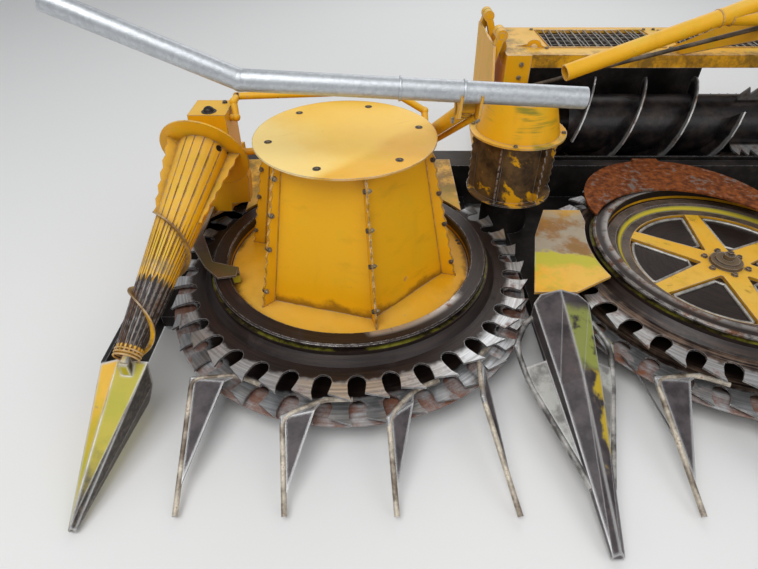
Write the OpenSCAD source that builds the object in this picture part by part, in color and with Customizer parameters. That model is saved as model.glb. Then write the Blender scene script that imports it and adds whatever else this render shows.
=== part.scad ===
// Rotary forage header, six metres wide, four rotors, folding wings.
// +Z is up, -Y is the direction of travel and +X is the header's width.
// Heights are from the floor, and places along Y are from the line of the rotor centres.

/* [Layout] */
// Distance between neighbouring rotor centres
rotor_pitch = 1500; // [1480:5:1560]
// From the rotor line forward to the tips of the middle dividers
nose_reach = 1062; // [1030:2:1100]
// From the rotor line forward to the tips of the outer dividers
snout_reach = 988; // [970:2:1010]
// Depth of the frame behind the rear wall that the harvester takes hold of
adapter_depth = 211; // [180:1:260]
// Half of the outline width over the outer side plates
half_width = 3000; // [2990:2:3040]

/* [Fold] */
// Distance of each fold axis from the middle
hinge_x = 1560; // [1558:1:1575]
// Height of the fold axes
hinge_z = 800; // [795:5:820]
// Radius of the fold pins
hinge_pin_r = 16; // [12:1:18]
// Radius of the hinge eyes
hinge_eye_r = 27; // [25:1:29]

/* [Tooth discs] */
// Teeth on each disc
tooth_count = 37; // [34:1:40]
// Radius over the teeth of the upper disc
upper_tip_r = 690; // [670:1:695]
// Radius over the teeth of the lower disc
lower_tip_r = 711; // [690:1:714]
// Radius of the plain edge of the cutting disc
cutter_r = 700; // [680:1:705]
// Underside of the upper disc
upper_disc_z = 204; // [198:1:206]
// Underside of the lower disc
lower_disc_z = 110; // [105:1:115]
// Underside of the cutting disc
cutter_z = 92; // [88:1:95]
// Thickness of the tooth discs
disc_t = 8; // [6:1:10]
// Thickness of the cutting disc
cutter_t = 5; // [4:1:6]
// Depth of the gaps between the teeth
gullet_depth = 98; // [80:1:104]
// Radius of the round end of each gap
gullet_r = 33; // [24:1:35]

/* [Rotor ring] */
// Outer radius of the rail ring's upper band
ring_r = 525; // [515:1:530]
// Inner radius of the rail ring
ring_inner_r = 466; // [464:1:475]
// Top of the rail ring
ring_top_z = 274; // [268:1:280]
// Radius at the foot of the ring's skirt
skirt_r = 562; // [555:1:568]
// Top of the recessed floor inside the ring
floor_top_z = 222; // [220:1:228]

/* [Drum] */
// Top of the lid on the tall drums
drum_top_z = 740; // [700:1:745]
// Radius of the lid
lid_r = 308; // [295:1:315]
// Thickness of the lid
lid_t = 6; // [4:1:8]
// Radius over the six corners of the drum at its foot
drum_foot_r = 366; // [340:1:374]
// Radius over the six corners of the drum under its lid
drum_neck_r = 266; // [250:1:270]
// How far the strips stand out under the lid
strip_depth = 34; // [20:1:38]
// How far the strips stand out at their feet
strip_foot_depth = 55; // [40:1:58]
// Thickness of a strip
strip_t = 7; // [5:1:9]
// Waves along a strip
strip_waves = 13; // [9:1:15]

/* [Spoked cap] */
// Floor of the inner rotors, under the cap
cap_floor_z = 186; // [182:1:188]
// Outer radius of the cap
cap_r = 458; // [450:1:459]
// Radius over the windows between the spokes
cap_window_r = 358; // [340:1:370]
// Radius of the cap's hub
cap_hub_r = 98; // [85:1:110]
// Width of a spoke at the hub
spoke_inner_w = 92; // [70:1:95]
// Width of a spoke at the rim
spoke_outer_w = 60; // [45:1:75]
// Height of the spokes above the floor
cap_t = 14; // [10:1:18]
// Height of the cap's raised edge above the floor
cap_edge_h = 36; // [30:1:40]
// Radius of the dark hub cover
hub_cover_r = 60; // [50:1:70]

/* [Feed drums] */
// Distance of each feed drum from the middle
feed_x = 1540; // [1530:1:1545]
// Distance of the feed drums behind the rotor line
feed_y = 500; // [495:1:510]
// Radius of the feed drum's body
feed_r = 160; // [140:1:168]
// Radius of the hat's flange
hat_flange_r = 205; // [190:1:206]
// Radius of the hat above its flange
hat_foot_r = 178; // [165:1:182]
// Radius of the hat's top
hat_top_r = 137; // [125:1:145]
// Underside of the hat's flange
hat_z = 540; // [520:1:550]
// Top of the hat
hat_top_z = 694; // [680:1:700]
// Underside of the feed drum
feed_bottom_z = 262; // [260:1:270]

/* [Auger] */
// Distance of the auger behind the rotor line
auger_y = 1050; // [1040:1:1055]
// Height of the auger's axis
auger_z = 340; // [335:1:350]
// Radius of the auger's tube
auger_core_r = 150; // [130:1:160]
// Radius over the flights
flight_r = 235; // [220:1:240]
// Half of the auger's length
auger_half = 1170; // [1150:5:1200]
// Advance of a flight in one turn
flight_lead = 520; // [460:10:560]
// Thickness of a flight
flight_t = 8; // [6:1:10]
// Half of the plain stretch with the paddles
paddle_half = 330; // [300:5:340]

/* [Frame] */
// Thickness of the frame's plates
plate_t = 10; // [8:1:12]
// Top of the deck
deck_z = 720; // [715:1:730]
// From the rotor line back to the deck's front edge
deck_front = 950; // [945:1:960]
// From the rotor line back to the deck's back edge
deck_back = 1450; // [1440:1:1455]
// Outer face of the middle section's end plates, from the middle
end_x = 1530; // [1528:1:1532]
// Height of the deck's front lip
lip_h = 60; // [50:1:70]
// Underside of the flat gear beam
pan_bottom_z = 22; // [15:1:25]
// Top of the flat gear beam
pan_top_z = 74; // [70:1:76]
// Radius of the skids under the rotors
skid_r = 500; // [470:5:510]
// Half of the width of the feed mouth
mouth_half = 360; // [340:5:380]
// Sill of the feed mouth
mouth_z = 150; // [145:5:160]
// Height of the feed mouth
mouth_h = 450; // [420:5:450]

/* [Dividers and points] */
// Corners of the points in front of each rotor, as places beside its centre
point_corners = [-492, -180, 142, 438];
// Tips of the same points, as places beside the rotor's centre
point_tips = [-466, -156, 164, 514];
// Radius about the rotor of the corners of the same points
point_radii = [745, 731, 725, 768];
// From the rotor line forward to the tips of the points
point_reach = 948; // [930:2:990]
// Height of the points' upper corners
point_z = 156; // [150:1:160]
// Radius of the points' round bars
point_bar_r = 8; // [6:0.5:9]
// Thickness of the points' plates
point_t = 6; // [4:1:8]
// Greatest width of a middle divider
divider_w = 192; // [170:2:200]
// Height of a middle divider's upper end
divider_z = 287; // [280:1:300]

/* [Side drums] */
// Radius of the side drums at the upper end
cone_top_r = 100; // [90:1:108]
// Radius of the side drums at the lower end
cone_low_r = 38; // [36:1:42]
// Radius of the side drums' cover disc
cone_cap_r = 166; // [155:1:170]
// Flutes around the side drums
flute_count = 18; // [14:1:20]
// Radius of the side drums' spindle
spindle_r = 20; // [16:1:24]

/* [Push bars] */
// Radius of the push bars' tubes
bar_r = 30; // [26:1:32]
// Wall of the push bars' tubes
bar_wall = 4; // [3:0.5:5]

/* [Hidden] */
$fn = 64;

YELLOW = "#ebaf14";
STEEL = "#4a443f";
DARK = "#2c2826";
GALVANISED = "#b4b9bd";
RUST = "#7d4630";

// Small working clearances
run_gap = 0.05;   // round fits that turn
seat_gap = 0.3;   // curved faces that only meet
wing_gap = 55;    // between the two end plates at a fold

// Places that follow from the driving sizes
inner_x = -rotor_pitch / 2;
outer_x = -rotor_pitch * 3 / 2;
divider_x = -rotor_pitch;
wing_end_x = end_x + wing_gap;
hub_r = 150;
hub_bore_r = 70;
hub_top_z = 172;
spindle_top_z = hub_top_z - 3;
pan_front = -180;
beam_front = 735;
beam_back = 905;
cover_z = 252;
cover_t = 10;
trough_r = flight_r + 16;
wall_y = auger_y + trough_r + plate_t;
auger_shaft_r = 40;
feed_stub_r = 40;
side_plate_t = 14;
side_in = half_width - side_plate_t;
side_plate_front = -574;
support_x = 690;
rear_reach = wall_y + plate_t + adapter_depth;
rotor_y = (nose_reach - rear_reach) / 2;
drum_sides = 6;
drum_phase = -15.5;

// The two ends of the left side drum's axis: across, along, up
cone_low = [95 - half_width, -592, 285];
cone_high = [211 - half_width, 160, 596];
cone_run = cone_high - cone_low;
cone_len = norm(cone_run);
cone_tilt = acos(cone_run[2] / cone_len);
cone_turn = atan2(cone_run[1], cone_run[0]);
cone_way = cone_run / cone_len;

// Draws a left-hand piece on either side, -1 for left and 1 for right
module on_side(side) {
    translate([0, rotor_y, 0])
        mirror([side > 0 ? 1 : 0, 0, 0])
            children();
}

// Box between two corners
module box(low, high) {
    translate(low)
        cube(high - low);
}

// Round bar from p to q
module rod(p, q, r) {
    run = q - p;
    len = norm(run);
    translate(p)
        rotate([0, acos(run[2] / len), atan2(run[1], run[0])])
            cylinder(h = len, r = r);
}

// Bent round bar through a list of places, a little fuller at its bends
module bent_rod(places, r, fuller = 1.05) {
    for (i = [0 : len(places) - 2])
        rod(places[i], places[i + 1], r);
    for (i = [1 : len(places) - 2])
        translate(places[i])
            sphere(r = r * fuller);
}

// Plate standing across the width, drawn as an outline of [along Y, up]
module upright(x, t) {
    translate([x - t / 2, 0, 0])
        rotate([90, 0, 90])
            linear_extrude(t)
                children();
}

// Solid through rings of places, each ring anticlockwise when seen from the far end
module loft(rings) {
    n = len(rings[0]);
    last = (len(rings) - 1) * n;
    polyhedron(
        points = [for (ring = rings) each ring],
        faces = concat(
            [
                for (i = [0 : len(rings) - 2])
                    for (k = [0 : n - 1]) let (
                        p = i * n + k,
                        q = i * n + (k + 1) % n
                    )
                        each [[p, p + n, q + n], [p, q + n, q]]
            ],
            [[for (k = [0 : n - 1]) k]],
            [[for (k = [n - 1 : -1 : 0]) last + k]]
        )
    );
}

// Thin three-cornered plate between three places
module corner_plate(a, b, c, t) {
    across = cross(b - a, c - a);
    half = across / norm(across) * t / 2;
    loft([[a - half, b - half, c - half], [a + half, b + half, c + half]]);
}

// One tooth of a disc as [distance along the rim, radius] pairs: tip, undercut edge, round gap, heel
function tooth_points(tip_r) = let (
    gap_x = 20,
    gap_mid_r = tip_r - gullet_depth + gullet_r,
    steps = 6
) concat(
    [[0, tip_r], [-10, tip_r - 25]],
    [for (k = [0 : steps]) let (a = 80 + k * 216 / steps)
        [gap_x - gullet_r * sin(a), gap_mid_r + gullet_r * cos(a)]],
    [[44, tip_r - 26]]
);

// Outline of a toothed disc
function tooth_outline(tip_r) = [
    for (i = [0 : tooth_count - 1])
        for (p = tooth_points(tip_r)) let (a = i * 360 / tooth_count + p[0] / tip_r * 180 / PI)
            [p[1] * cos(a), p[1] * sin(a)]
];

module toothed_disc(tip_r, z) {
    translate([0, 0, z])
        linear_extrude(disc_t)
            difference() {
                polygon(tooth_outline(tip_r));
                circle(r = hub_r - 1, $fn = 96);
            }
}

// Profile of a rotor's upper side from hub to skirt, with the rail ring's two bands
module ring_profile() {
    top = ring_top_z - upper_disc_z;
    floor_h = floor_top_z - upper_disc_z;
    band = 12;
    groove = 10;
    polygon([
        [hub_r - 2, 0],
        [skirt_r, 0],
        [skirt_r, disc_t],
        [ring_r + 10, top - 2 * band - groove],
        [ring_r + 10, top - band - groove],
        [ring_r - groove, top - band - groove],
        [ring_r - groove, top - band],
        [ring_r, top - band],
        [ring_r, top - 4],
        [ring_r - 6, top],
        [ring_inner_r + 4, top],
        [ring_inner_r, top - 4],
        [ring_inner_r, floor_h],
        [hub_r - 2, floor_h]
    ]);
}

// The rotating foot of every rotor: two toothed discs, the cutting disc and the rail ring
module rotor_discs(floor_z) {
    web_r = 470;
    difference() {
        union() {
            toothed_disc(upper_tip_r, upper_disc_z);
            toothed_disc(lower_tip_r, lower_disc_z);
            translate([0, 0, cutter_z])
                cylinder(h = cutter_t, r = cutter_r, $fn = 128);
            translate([0, 0, cutter_z])
                cylinder(h = upper_disc_z - cutter_z + 1, r = web_r, $fn = 96);
            translate([0, 0, upper_disc_z])
                rotate_extrude($fn = 128)
                    ring_profile();
            translate([0, 0, cutter_z])
                cylinder(h = floor_top_z - cutter_z, r = hub_r);
        }
        translate([0, 0, cutter_z - 1])
            cylinder(h = hub_top_z - cutter_z + 1, r = hub_bore_r + run_gap);
        if (floor_z < floor_top_z)
            translate([0, 0, floor_z])
                cylinder(h = floor_top_z - floor_z + 1, r = cap_r + 2, $fn = 96);
    }
}

module outer_discs(side) {
    color(STEEL)
        on_side(side)
            translate([outer_x, 0, 0])
                rotor_discs(floor_top_z);
}

module inner_discs(side) {
    color(STEEL)
        on_side(side)
            translate([inner_x, 0, 0])
                rotor_discs(cap_floor_z);
}

// Heights between which the drum's sheets stand
drum_foot_t = 5;
drum_low_z = floor_top_z + drum_foot_t;
drum_high_z = drum_top_z - lid_t;

// Tall drum: six flat sheets between a round foot and a flat round lid
module drum(side) {
    color(YELLOW)
        on_side(side)
            translate([outer_x, 0, 0]) {
                translate([0, 0, floor_top_z])
                    cylinder(h = drum_foot_t, r = ring_inner_r - 6, $fn = 96);
                rotate([0, 0, drum_phase])
                    translate([0, 0, drum_low_z - 1])
                        cylinder(
                            h = drum_high_z - drum_low_z + 2,
                            r1 = drum_foot_r,
                            r2 = drum_neck_r,
                            $fn = drum_sides
                        );
                translate([0, 0, drum_high_z])
                    cylinder(h = lid_t, r = lid_r, $fn = 96);
            }
}

// Radius over the drum's corners at a height
function drum_r_at(z) = drum_foot_r
    + (drum_neck_r - drum_foot_r) * (z - drum_low_z + 1) / (drum_high_z - drum_low_z + 2);

// Serrated strips up the joints of the drum's sheets
module drum_strips(side) {
    foot_z = drum_low_z + seat_gap;
    head_z = drum_high_z - seat_gap;
    steps = strip_waves * 2;
    wave = 7;
    color(YELLOW)
        on_side(side)
            translate([outer_x, 0, 0])
                for (i = [0 : drum_sides - 1])
                    rotate([90, 0, drum_phase + i * 360 / drum_sides])
                        translate([0, 0, -strip_t / 2])
                            linear_extrude(strip_t)
                                polygon(concat(
                                    [[drum_r_at(foot_z) + seat_gap, foot_z]],
                                    [for (k = [0 : steps]) let (
                                        z = foot_z + (head_z - foot_z) * k / steps
                                    ) [
                                        drum_r_at(z) + strip_foot_depth
                                            + (strip_depth - strip_foot_depth) * k / steps - (k % 2) * wave,
                                        z
                                    ]],
                                    [[drum_r_at(head_z) + seat_gap, head_z]]
                                ));
}

// Dished cap inside the ring of an inner rotor: raised edge, six spokes and a stepped hub cover
module spoked_cap(side) {
    spokes = 6;
    phase = 26;
    slope = 36;
    steps = [[hub_cover_r, 13], [44, 9], [20, 21]];
    color(YELLOW)
        on_side(side)
            translate([inner_x, 0, cap_floor_z]) {
                rotate_extrude($fn = 96)
                    polygon([
                        [cap_window_r, 0],
                        [cap_r, 0],
                        [cap_r, cap_edge_h],
                        [cap_r - slope, cap_edge_h],
                        [cap_window_r + slope, cap_t],
                        [cap_window_r, cap_t]
                    ]);
                linear_extrude(cap_t) {
                    circle(r = cap_hub_r);
                    for (i = [0 : spokes - 1])
                        rotate([0, 0, phase + i * 360 / spokes])
                            polygon([
                                [cap_hub_r - 20, -spoke_inner_w / 2],
                                [cap_window_r + 10, -spoke_outer_w / 2],
                                [cap_window_r + 10, spoke_outer_w / 2],
                                [cap_hub_r - 20, spoke_inner_w / 2]
                            ]);
                }
                translate([0, 0, cap_t - 1])
                    cylinder(h = steps[0][1] + 1, r = steps[0][0]);
                translate([0, 0, cap_t + steps[0][1] - 1])
                    cylinder(h = steps[1][1] + 1, r = steps[1][0]);
                translate([0, 0, cap_t + steps[0][1] + steps[1][1] - 1])
                    cylinder(h = steps[2][1] + 1, r = steps[2][0]);
            }
}

// Flat gear beam under the middle rotors, with skids, spindles and posts
module gear_beam() {
    post_w = 62;
    pedestal_r = 110;
    front_beam_w = 60;
    color(DARK)
        translate([0, rotor_y, 0]) {
            box([-end_x, pan_front, pan_bottom_z], [end_x, beam_back + 20, pan_top_z]);
            box([-end_x + plate_t, beam_front, pan_top_z - 1],
                [end_x - plate_t, beam_front + front_beam_w, cover_z]);
            for (x = [inner_x, -inner_x])
                translate([x, 0, 0]) {
                    cylinder(h = pan_top_z, r = skid_r, $fn = 96);
                    cylinder(h = spindle_top_z, r = hub_bore_r);
                }
            for (x = [divider_x, 0, -divider_x]) {
                box([x - 30, -470, pan_bottom_z], [x + 30, pan_front + 10, pan_top_z]);
                box([x - post_w / 2, post_front, pan_top_z - 1], [x + post_w / 2, -190, saddle_z]);
                box([x - post_w / 2, divider_back + 2, saddle_z - 1], [x + post_w / 2, -190, cover_z]);
            }
            for (s = [-1, 1])
                translate([s * feed_x, feed_y, pan_bottom_z]) {
                    cylinder(h = feed_bottom_z - 6 - pan_bottom_z, r = pedestal_r);
                    cylinder(h = hat_z - 25 - pan_bottom_z, r = feed_stub_r);
                }
        }
}

// Curved floor under the auger, on ribs and feet
module auger_trough() {
    foot_w = 70;
    color(DARK)
        translate([0, rotor_y, 0])
            difference() {
                union() {
                    translate([-end_x + plate_t, auger_y, auger_z])
                        rotate([90, 0, 90])
                            linear_extrude(2 * (end_x - plate_t))
                                difference() {
                                    circle(r = trough_r + plate_t, $fn = 96);
                                    translate([-400, -70])
                                        square([400, 800]);
                                    translate([-1, 0])
                                        square([402, 800]);
                                }
                    for (x = [-1150, -500, 500, 1150]) {
                        box([x - foot_w / 2, wall_y - 120, 0], [x + foot_w / 2, wall_y - 40, 200]);
                        box([x - foot_w / 2, 860, pan_top_z], [x + foot_w / 2, 920, 200]);
                    }
                }
                translate([-end_x, auger_y, auger_z])
                    rotate([0, 90, 0])
                        cylinder(h = 2 * end_x, r = trough_r, $fn = 96);
                box([-mouth_half, auger_y + 100, mouth_z], [mouth_half, wall_y, auger_z + 10]);
            }
}

// Wall behind the auger, with the mouth through it
module rear_wall() {
    color(DARK)
        translate([0, rotor_y, 0])
            difference() {
                box([-end_x + plate_t, wall_y, 60],
                    [end_x - plate_t, wall_y + plate_t, deck_z - plate_t]);
                box([-mouth_half, wall_y - 5, mouth_z],
                    [mouth_half, wall_y + plate_t + 5, mouth_z + mouth_h]);
            }
}

// Places of the bolts and latch pins on the adapter frame
adapter_side_w = 90;
adapter_bolt_r = 9;
adapter_bolt_x = mouth_half + adapter_side_w / 2;
adapter_bolt_low = mouth_z + 80;
adapter_bolt_high = mouth_z + mouth_h - 80;
latch_pin_r = 20;
latch_pin_len = 70;
latch_pin_z = mouth_z - 20;
latch_pin_y = rear_reach - 60;

// Frame round the mouth that the harvester takes hold of, with latch pins at its foot
module adapter_frame() {
    foot_drop = 70;
    depth_y = wall_y + plate_t;
    color(YELLOW)
        translate([0, rotor_y, 0])
            difference() {
                union() {
                    box([-mouth_half - adapter_side_w, depth_y, mouth_z - foot_drop],
                        [mouth_half + adapter_side_w, rear_reach, deck_z - plate_t]);
                    for (s = [-1, 1])
                        translate([s * (mouth_half + adapter_side_w - 1), latch_pin_y, latch_pin_z])
                            rotate([0, s * 90, 0])
                                cylinder(h = latch_pin_len + 1, r = latch_pin_r);
                }
                box([-mouth_half, depth_y - 5, mouth_z],
                    [mouth_half, rear_reach + 5, mouth_z + mouth_h]);
                for (x = [-adapter_bolt_x, adapter_bolt_x])
                    for (z = [adapter_bolt_low, adapter_bolt_high])
                        translate([x, rear_reach + 1, z])
                            rotate([90, 0, 0])
                                cylinder(h = rear_reach - depth_y + 2, r = adapter_bolt_r);
            }
}

// Gear housing on the rear wall with the stub that the drive shaft slides onto
drive_x = 620;
drive_z = 330;
drive_r = 22;
drive_len = 80;
module drive_housing() {
    size = [220, 130, 220];
    back_y = wall_y + plate_t;
    color(DARK)
        translate([0, rotor_y, 0]) {
            box([drive_x - size[0] / 2, back_y, drive_z - size[2] / 2],
                [drive_x + size[0] / 2, back_y + size[1] - drive_len, drive_z + size[2] / 2]);
            translate([drive_x, back_y + size[1] - drive_len - 1, drive_z])
                rotate([-90, 0, 0])
                    cylinder(h = drive_len + 1, r = drive_r);
        }
}

// Windows through the deck, as places across the width
window_size = [560, 300];
window_places = [-1010, -350, 350, 1010];
window_y = (deck_front + deck_back) / 2 + 25;

// Deck over the auger: top plate with windows, front lip and back plates
module top_deck() {
    eye_x = 1370;
    eye_y = deck_front + 130;
    eye_t = 12;
    deck_half = end_x - plate_t;
    back_in = mouth_half + adapter_side_w + 20;
    color(YELLOW)
        translate([0, rotor_y, 0]) {
            difference() {
                union() {
                    box([-deck_half, deck_front, deck_z - plate_t], [deck_half, deck_back, deck_z]);
                    box([-deck_half, deck_front, deck_z - lip_h],
                        [deck_half, deck_front + plate_t, deck_z - plate_t + 1]);
                }
                for (x = window_places)
                    box([x - window_size[0] / 2, window_y - window_size[1] / 2, deck_z - 50],
                        [x + window_size[0] / 2, window_y + window_size[1] / 2, deck_z + 10]);
            }
            for (s = [-1, 1]) {
                translate([s > 0 ? back_in : -deck_half, deck_back - plate_t, deck_z - 80])
                    cube([deck_half - back_in, plate_t, 81 - plate_t]);
                translate([s * eye_x, eye_y, deck_z])
                    rotate([0, 0, s * 14])
                        rotate([90, 0, 0])
                            translate([0, 0, -eye_t / 2])
                                linear_extrude(eye_t)
                                    difference() {
                                        union() {
                                            circle(r = 36);
                                            polygon([[-100, -1], [-34, 12], [34, 12], [70, -1]]);
                                        }
                                        circle(r = 15);
                                        translate([-150, -100])
                                            square([300, 99.5]);
                                    }
            }
        }
}

// Wire mesh in the deck's windows
module deck_grilles() {
    bars = [8, 4];
    wire = 7;
    pitch_x = window_size[0] / (bars[0] + 1);
    pitch_y = window_size[1] / (bars[1] + 1);
    color(DARK)
        translate([0, rotor_y, deck_z - plate_t])
            for (x = window_places)
                translate([x - window_size[0] / 2, window_y - window_size[1] / 2, 0]) {
                    for (i = [1 : bars[0]])
                        translate([i * pitch_x - wire / 2, 0, 1])
                            cube([wire, window_size[1], wire]);
                    for (j = [1 : bars[1]])
                        translate([0, j * pitch_y - wire / 2, 1])
                            cube([window_size[0], wire, wire]);
                }
}

// Places of the hinge eyes behind the rotor line: [start, end] of the wing's and of the middle's
wing_eyes = [[960, 1008], [1392, 1440]];
middle_eyes = [[1012, 1062], [1338, 1388]];
eye_web_h = 150;

// One hinge eye with its web; lean is 1 where the web comes from the middle
module hinge_eye(span, lean, foot) {
    translate([-hinge_x, span[1], hinge_z])
        rotate([90, 0, 0])
            linear_extrude(span[1] - span[0]) {
                circle(r = hinge_eye_r);
                polygon([
                    [lean * (foot - 1), -eye_web_h],
                    [lean * -10, -hinge_eye_r + 3],
                    [lean * 8, hinge_eye_r - 4],
                    [lean * (foot + plate_t - 1), -hinge_eye_r - 30],
                    [lean * (foot + plate_t - 1), -eye_web_h]
                ]);
            }
}

// End plate of the middle section, with the fold pins in its eyes
module end_plate(side) {
    foot = hinge_x - end_x;
    flange_w = 122;
    flange_h = 190;
    color(YELLOW)
        on_side(side) {
            difference() {
                upright(-end_x + plate_t / 2, plate_t)
                    polygon([
                        [beam_front, pan_top_z],
                        [deck_back - 200, pan_top_z],
                        [deck_back, 300],
                        [deck_back, deck_z],
                        [deck_front, deck_z],
                        [deck_front, deck_z - 200],
                        [beam_front, 330]
                    ]);
                translate([-end_x - 1, auger_y, auger_z])
                    rotate([0, 90, 0])
                        cylinder(h = plate_t + 2, r = auger_shaft_r + run_gap);
            }
            box([-end_x, deck_front - plate_t, deck_z - flange_h], [-end_x + flange_w, deck_front, deck_z]);
            for (i = [0, 1]) {
                hinge_eye(middle_eyes[i], 1, foot);
                translate([-hinge_x, max(middle_eyes[i][1], wing_eyes[i][1]) + 1, hinge_z])
                    rotate([90, 0, 0])
                        cylinder(
                            h = max(middle_eyes[i][1], wing_eyes[i][1])
                                - min(middle_eyes[i][0], wing_eyes[i][0]) + 2,
                            r = hinge_pin_r
                        );
            }
        }
}

// Plate of a wing that carries its hinge eyes
module wing_hinge(side) {
    foot = wing_end_x - hinge_x;
    top = hinge_z - 45;
    color(YELLOW)
        on_side(side)
            difference() {
                union() {
                    upright(-wing_end_x - plate_t / 2, plate_t)
                        polygon([
                            [beam_back, pan_bottom_z + 20],
                            [deck_back - 60, 200],
                            [deck_back - 10, top],
                            [deck_front + 5, top],
                            [beam_front + 5, cover_z + 60],
                            [beam_front + 5, cover_z],
                            [beam_back, cover_z]
                        ]);
                    for (i = [0, 1])
                        hinge_eye(wing_eyes[i], -1, foot);
                }
                for (i = [0, 1])
                    translate([-hinge_x, wing_eyes[i][1] + 1, hinge_z])
                        rotate([90, 0, 0])
                            cylinder(h = wing_eyes[i][1] - wing_eyes[i][0] + 2, r = hinge_pin_r + run_gap);
            }
}

// Room that the plates beside the rings leave round a rotor
module ring_room() {
    circle(r = ring_r + 30, $fn = 96);
}

// Cover plate behind a rotor, cut round its ring
module crescent(half) {
    front = 300;
    translate([0, 0, cover_z])
        linear_extrude(cover_t)
            difference() {
                translate([-half, front])
                    square([2 * half, beam_front + 50 - front]);
                ring_room();
            }
}

// Crescent over the back of an inner rotor's ring, on a bracket on the front beam's face
module crescent_plates() {
    low = ring_top_z + 9;
    top = low + 8;
    outer = [-72, 302, 408];
    inner = [-106, 16, 416];
    tongue = 60;
    foot_t = 20;
    foot_z = 205;
    color(RUST)
        for (side = [-1, 1])
            on_side(side)
                translate([inner_x, 0, 0]) {
                    translate([0, 0, low])
                        linear_extrude(top - low)
                            difference() {
                                translate([outer[0], outer[1]])
                                    circle(r = outer[2], $fn = 96);
                                translate([inner[0], inner[1]])
                                    circle(r = inner[2], $fn = 96);
                                translate([-600, -600])
                                    square([1200, 760]);
                            }
                    box([outer[0] - tongue, outer[1] + outer[2] - 20, low],
                        [outer[0] + tongue, beam_front, top]);
                    box([outer[0] - tongue, beam_front - foot_t, foot_z],
                        [outer[0] + tongue, beam_front, low + 1]);
                }
}

// Thin plates over the gaps between neighbouring rotors
module cover_plates() {
    front = -252;
    side_plate = [
        [-84, front], [66, front], [222, -160], [238, 300], [80, 300], [0, 107]
    ];
    middle_plate = [
        [-90, front], [90, front], [215, -160], [215, 290], [-215, 290], [-215, -160]
    ];
    color(YELLOW)
        translate([0, rotor_y, cover_z])
            linear_extrude(cover_t) {
                for (s = [-1, 1])
                    scale([-s, 1])
                        difference() {
                            translate([divider_x, 0])
                                polygon(side_plate);
                            translate([inner_x, 0])
                                ring_room();
                        }
                difference() {
                    polygon(middle_plate);
                    for (x = [inner_x, -inner_x])
                        translate([x, 0])
                            ring_room();
                }
            }
}

// Stations of a middle divider: [along Y, half width, ridge, fold, underside]
divider_back = -266;
divider_stations = [
    [divider_back, divider_w / 2 - 30, divider_z, divider_z - 23, divider_z - 87],
    [divider_back - 36, divider_w / 2, divider_z - 8, divider_z - 33, divider_z - 96],
    [-600, divider_w / 2 - 31, 214, 178, 130],
    [-nose_reach, 16, 50, 30, 12]
];
post_front = -420;
saddle_z = 160;

// Pointed divider between two rotors, with a bent bar and a plate on each side
module divider() {
    loft([
        for (d = divider_stations) [
            [-d[1], d[0], d[4]], [d[1], d[0], d[4]], [d[1], d[0], d[3]],
            [0, d[0], d[2]], [-d[1], d[0], d[3]]
        ]
    ]);
    box([-28, post_front + 10, saddle_z], [28, divider_back - 8, saddle_z + 45]);
    for (s = [-1, 1]) {
        bent_rod([
            [s * 60, -292, 206],
            [s * 119, -326, 180],
            [s * 164, -412, 152],
            [s * 140, -533, 112],
            [s * 30, -892, 72]
        ], 9);
        corner_plate([s * 149, -490, 124], [s * 70, -480, 158], [s * 34, -860, 76], point_t);
    }
}

module divider_snouts() {
    color(STEEL)
        translate([0, rotor_y, 0])
            for (x = [divider_x, 0, -divider_x])
                translate([x, 0, 0])
                    divider();
}

// Place at a radius and an angle about the rotor, at the height of the points' corners
function round_rotor(r, a) = [r * cos(a), r * sin(a), point_z];

// Pointed plate in front of a rotor on a bent bar, with a strut from the gear beam
module point_plate(i) {
    corner_x = point_corners[i];
    corner = [corner_x, -sqrt(pow(point_radii[i], 2) - pow(corner_x, 2)), point_z];
    corner_a = atan2(corner[1], corner[0]);
    tip = [point_tips[i], -point_reach, 20];
    inner = round_rotor(upper_tip_r - 45, corner_a + 9);
    end = round_rotor(upper_tip_r - 48, corner_a + 17);
    edge = round_rotor(upper_tip_r - 2, corner_a + 7.3);
    hold = (corner + tip) / 2;
    strut_x = abs(hold[0]) - point_t / 2;
    foot_y = -max(-pan_front, sqrt(max(0, pow(skid_r, 2) - pow(strut_x, 2))) + seat_gap);
    disc_y = -sqrt(pow(lower_tip_r + 12, 2) - pow(hold[0], 2));
    bent_rod([tip, corner, inner, end], point_bar_r);
    corner_plate(corner, edge, corner + (tip - corner) * 0.85, point_t);
    corner_plate(corner, inner, edge, point_t);
    upright(hold[0], point_t)
        polygon([
            [foot_y, 30],
            [foot_y, 66],
            [disc_y, 66],
            [hold[1] + 4, hold[2] + 3],
            [hold[1] - 6, hold[2] - 5]
        ]);
}

module centre_points() {
    color(STEEL)
        for (side = [-1, 1])
            on_side(side)
                translate([inner_x, 0, 0])
                    for (i = [0 : len(point_corners) - 1])
                        point_plate(i);
}

module wing_points(side) {
    color(STEEL)
        on_side(side)
            translate([outer_x, 0, 0])
                for (i = [0 : len(point_corners) - 1])
                    point_plate(i);
}

// Push bar over the middle rotors: [across, along, up] of its bends, left half
bar_end = [-1437, 360, 825];
bar_joint = [-866, 460, 995];
bar_peak = [-440, 460, 1171];
function flip(p) = [-p[0], p[1], p[2]];

module centre_push_bar() {
    outer = [bar_end, bar_joint, bar_peak, flip(bar_peak), flip(bar_joint), flip(bar_end)];
    reach = (bar_end - bar_joint) / norm(bar_end - bar_joint);
    color(YELLOW)
        translate([0, rotor_y, 0])
            difference() {
                union() {
                    bent_rod(outer, bar_r);
                    rod(bar_joint, flip(bar_joint), bar_r - 2);
                }
                for (s = [-1, 1])
                    mirror([s > 0 ? 1 : 0, 0, 0])
                        rod(bar_end + reach * 5, bar_end - reach * 220, bar_r - bar_wall);
            }
}

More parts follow.
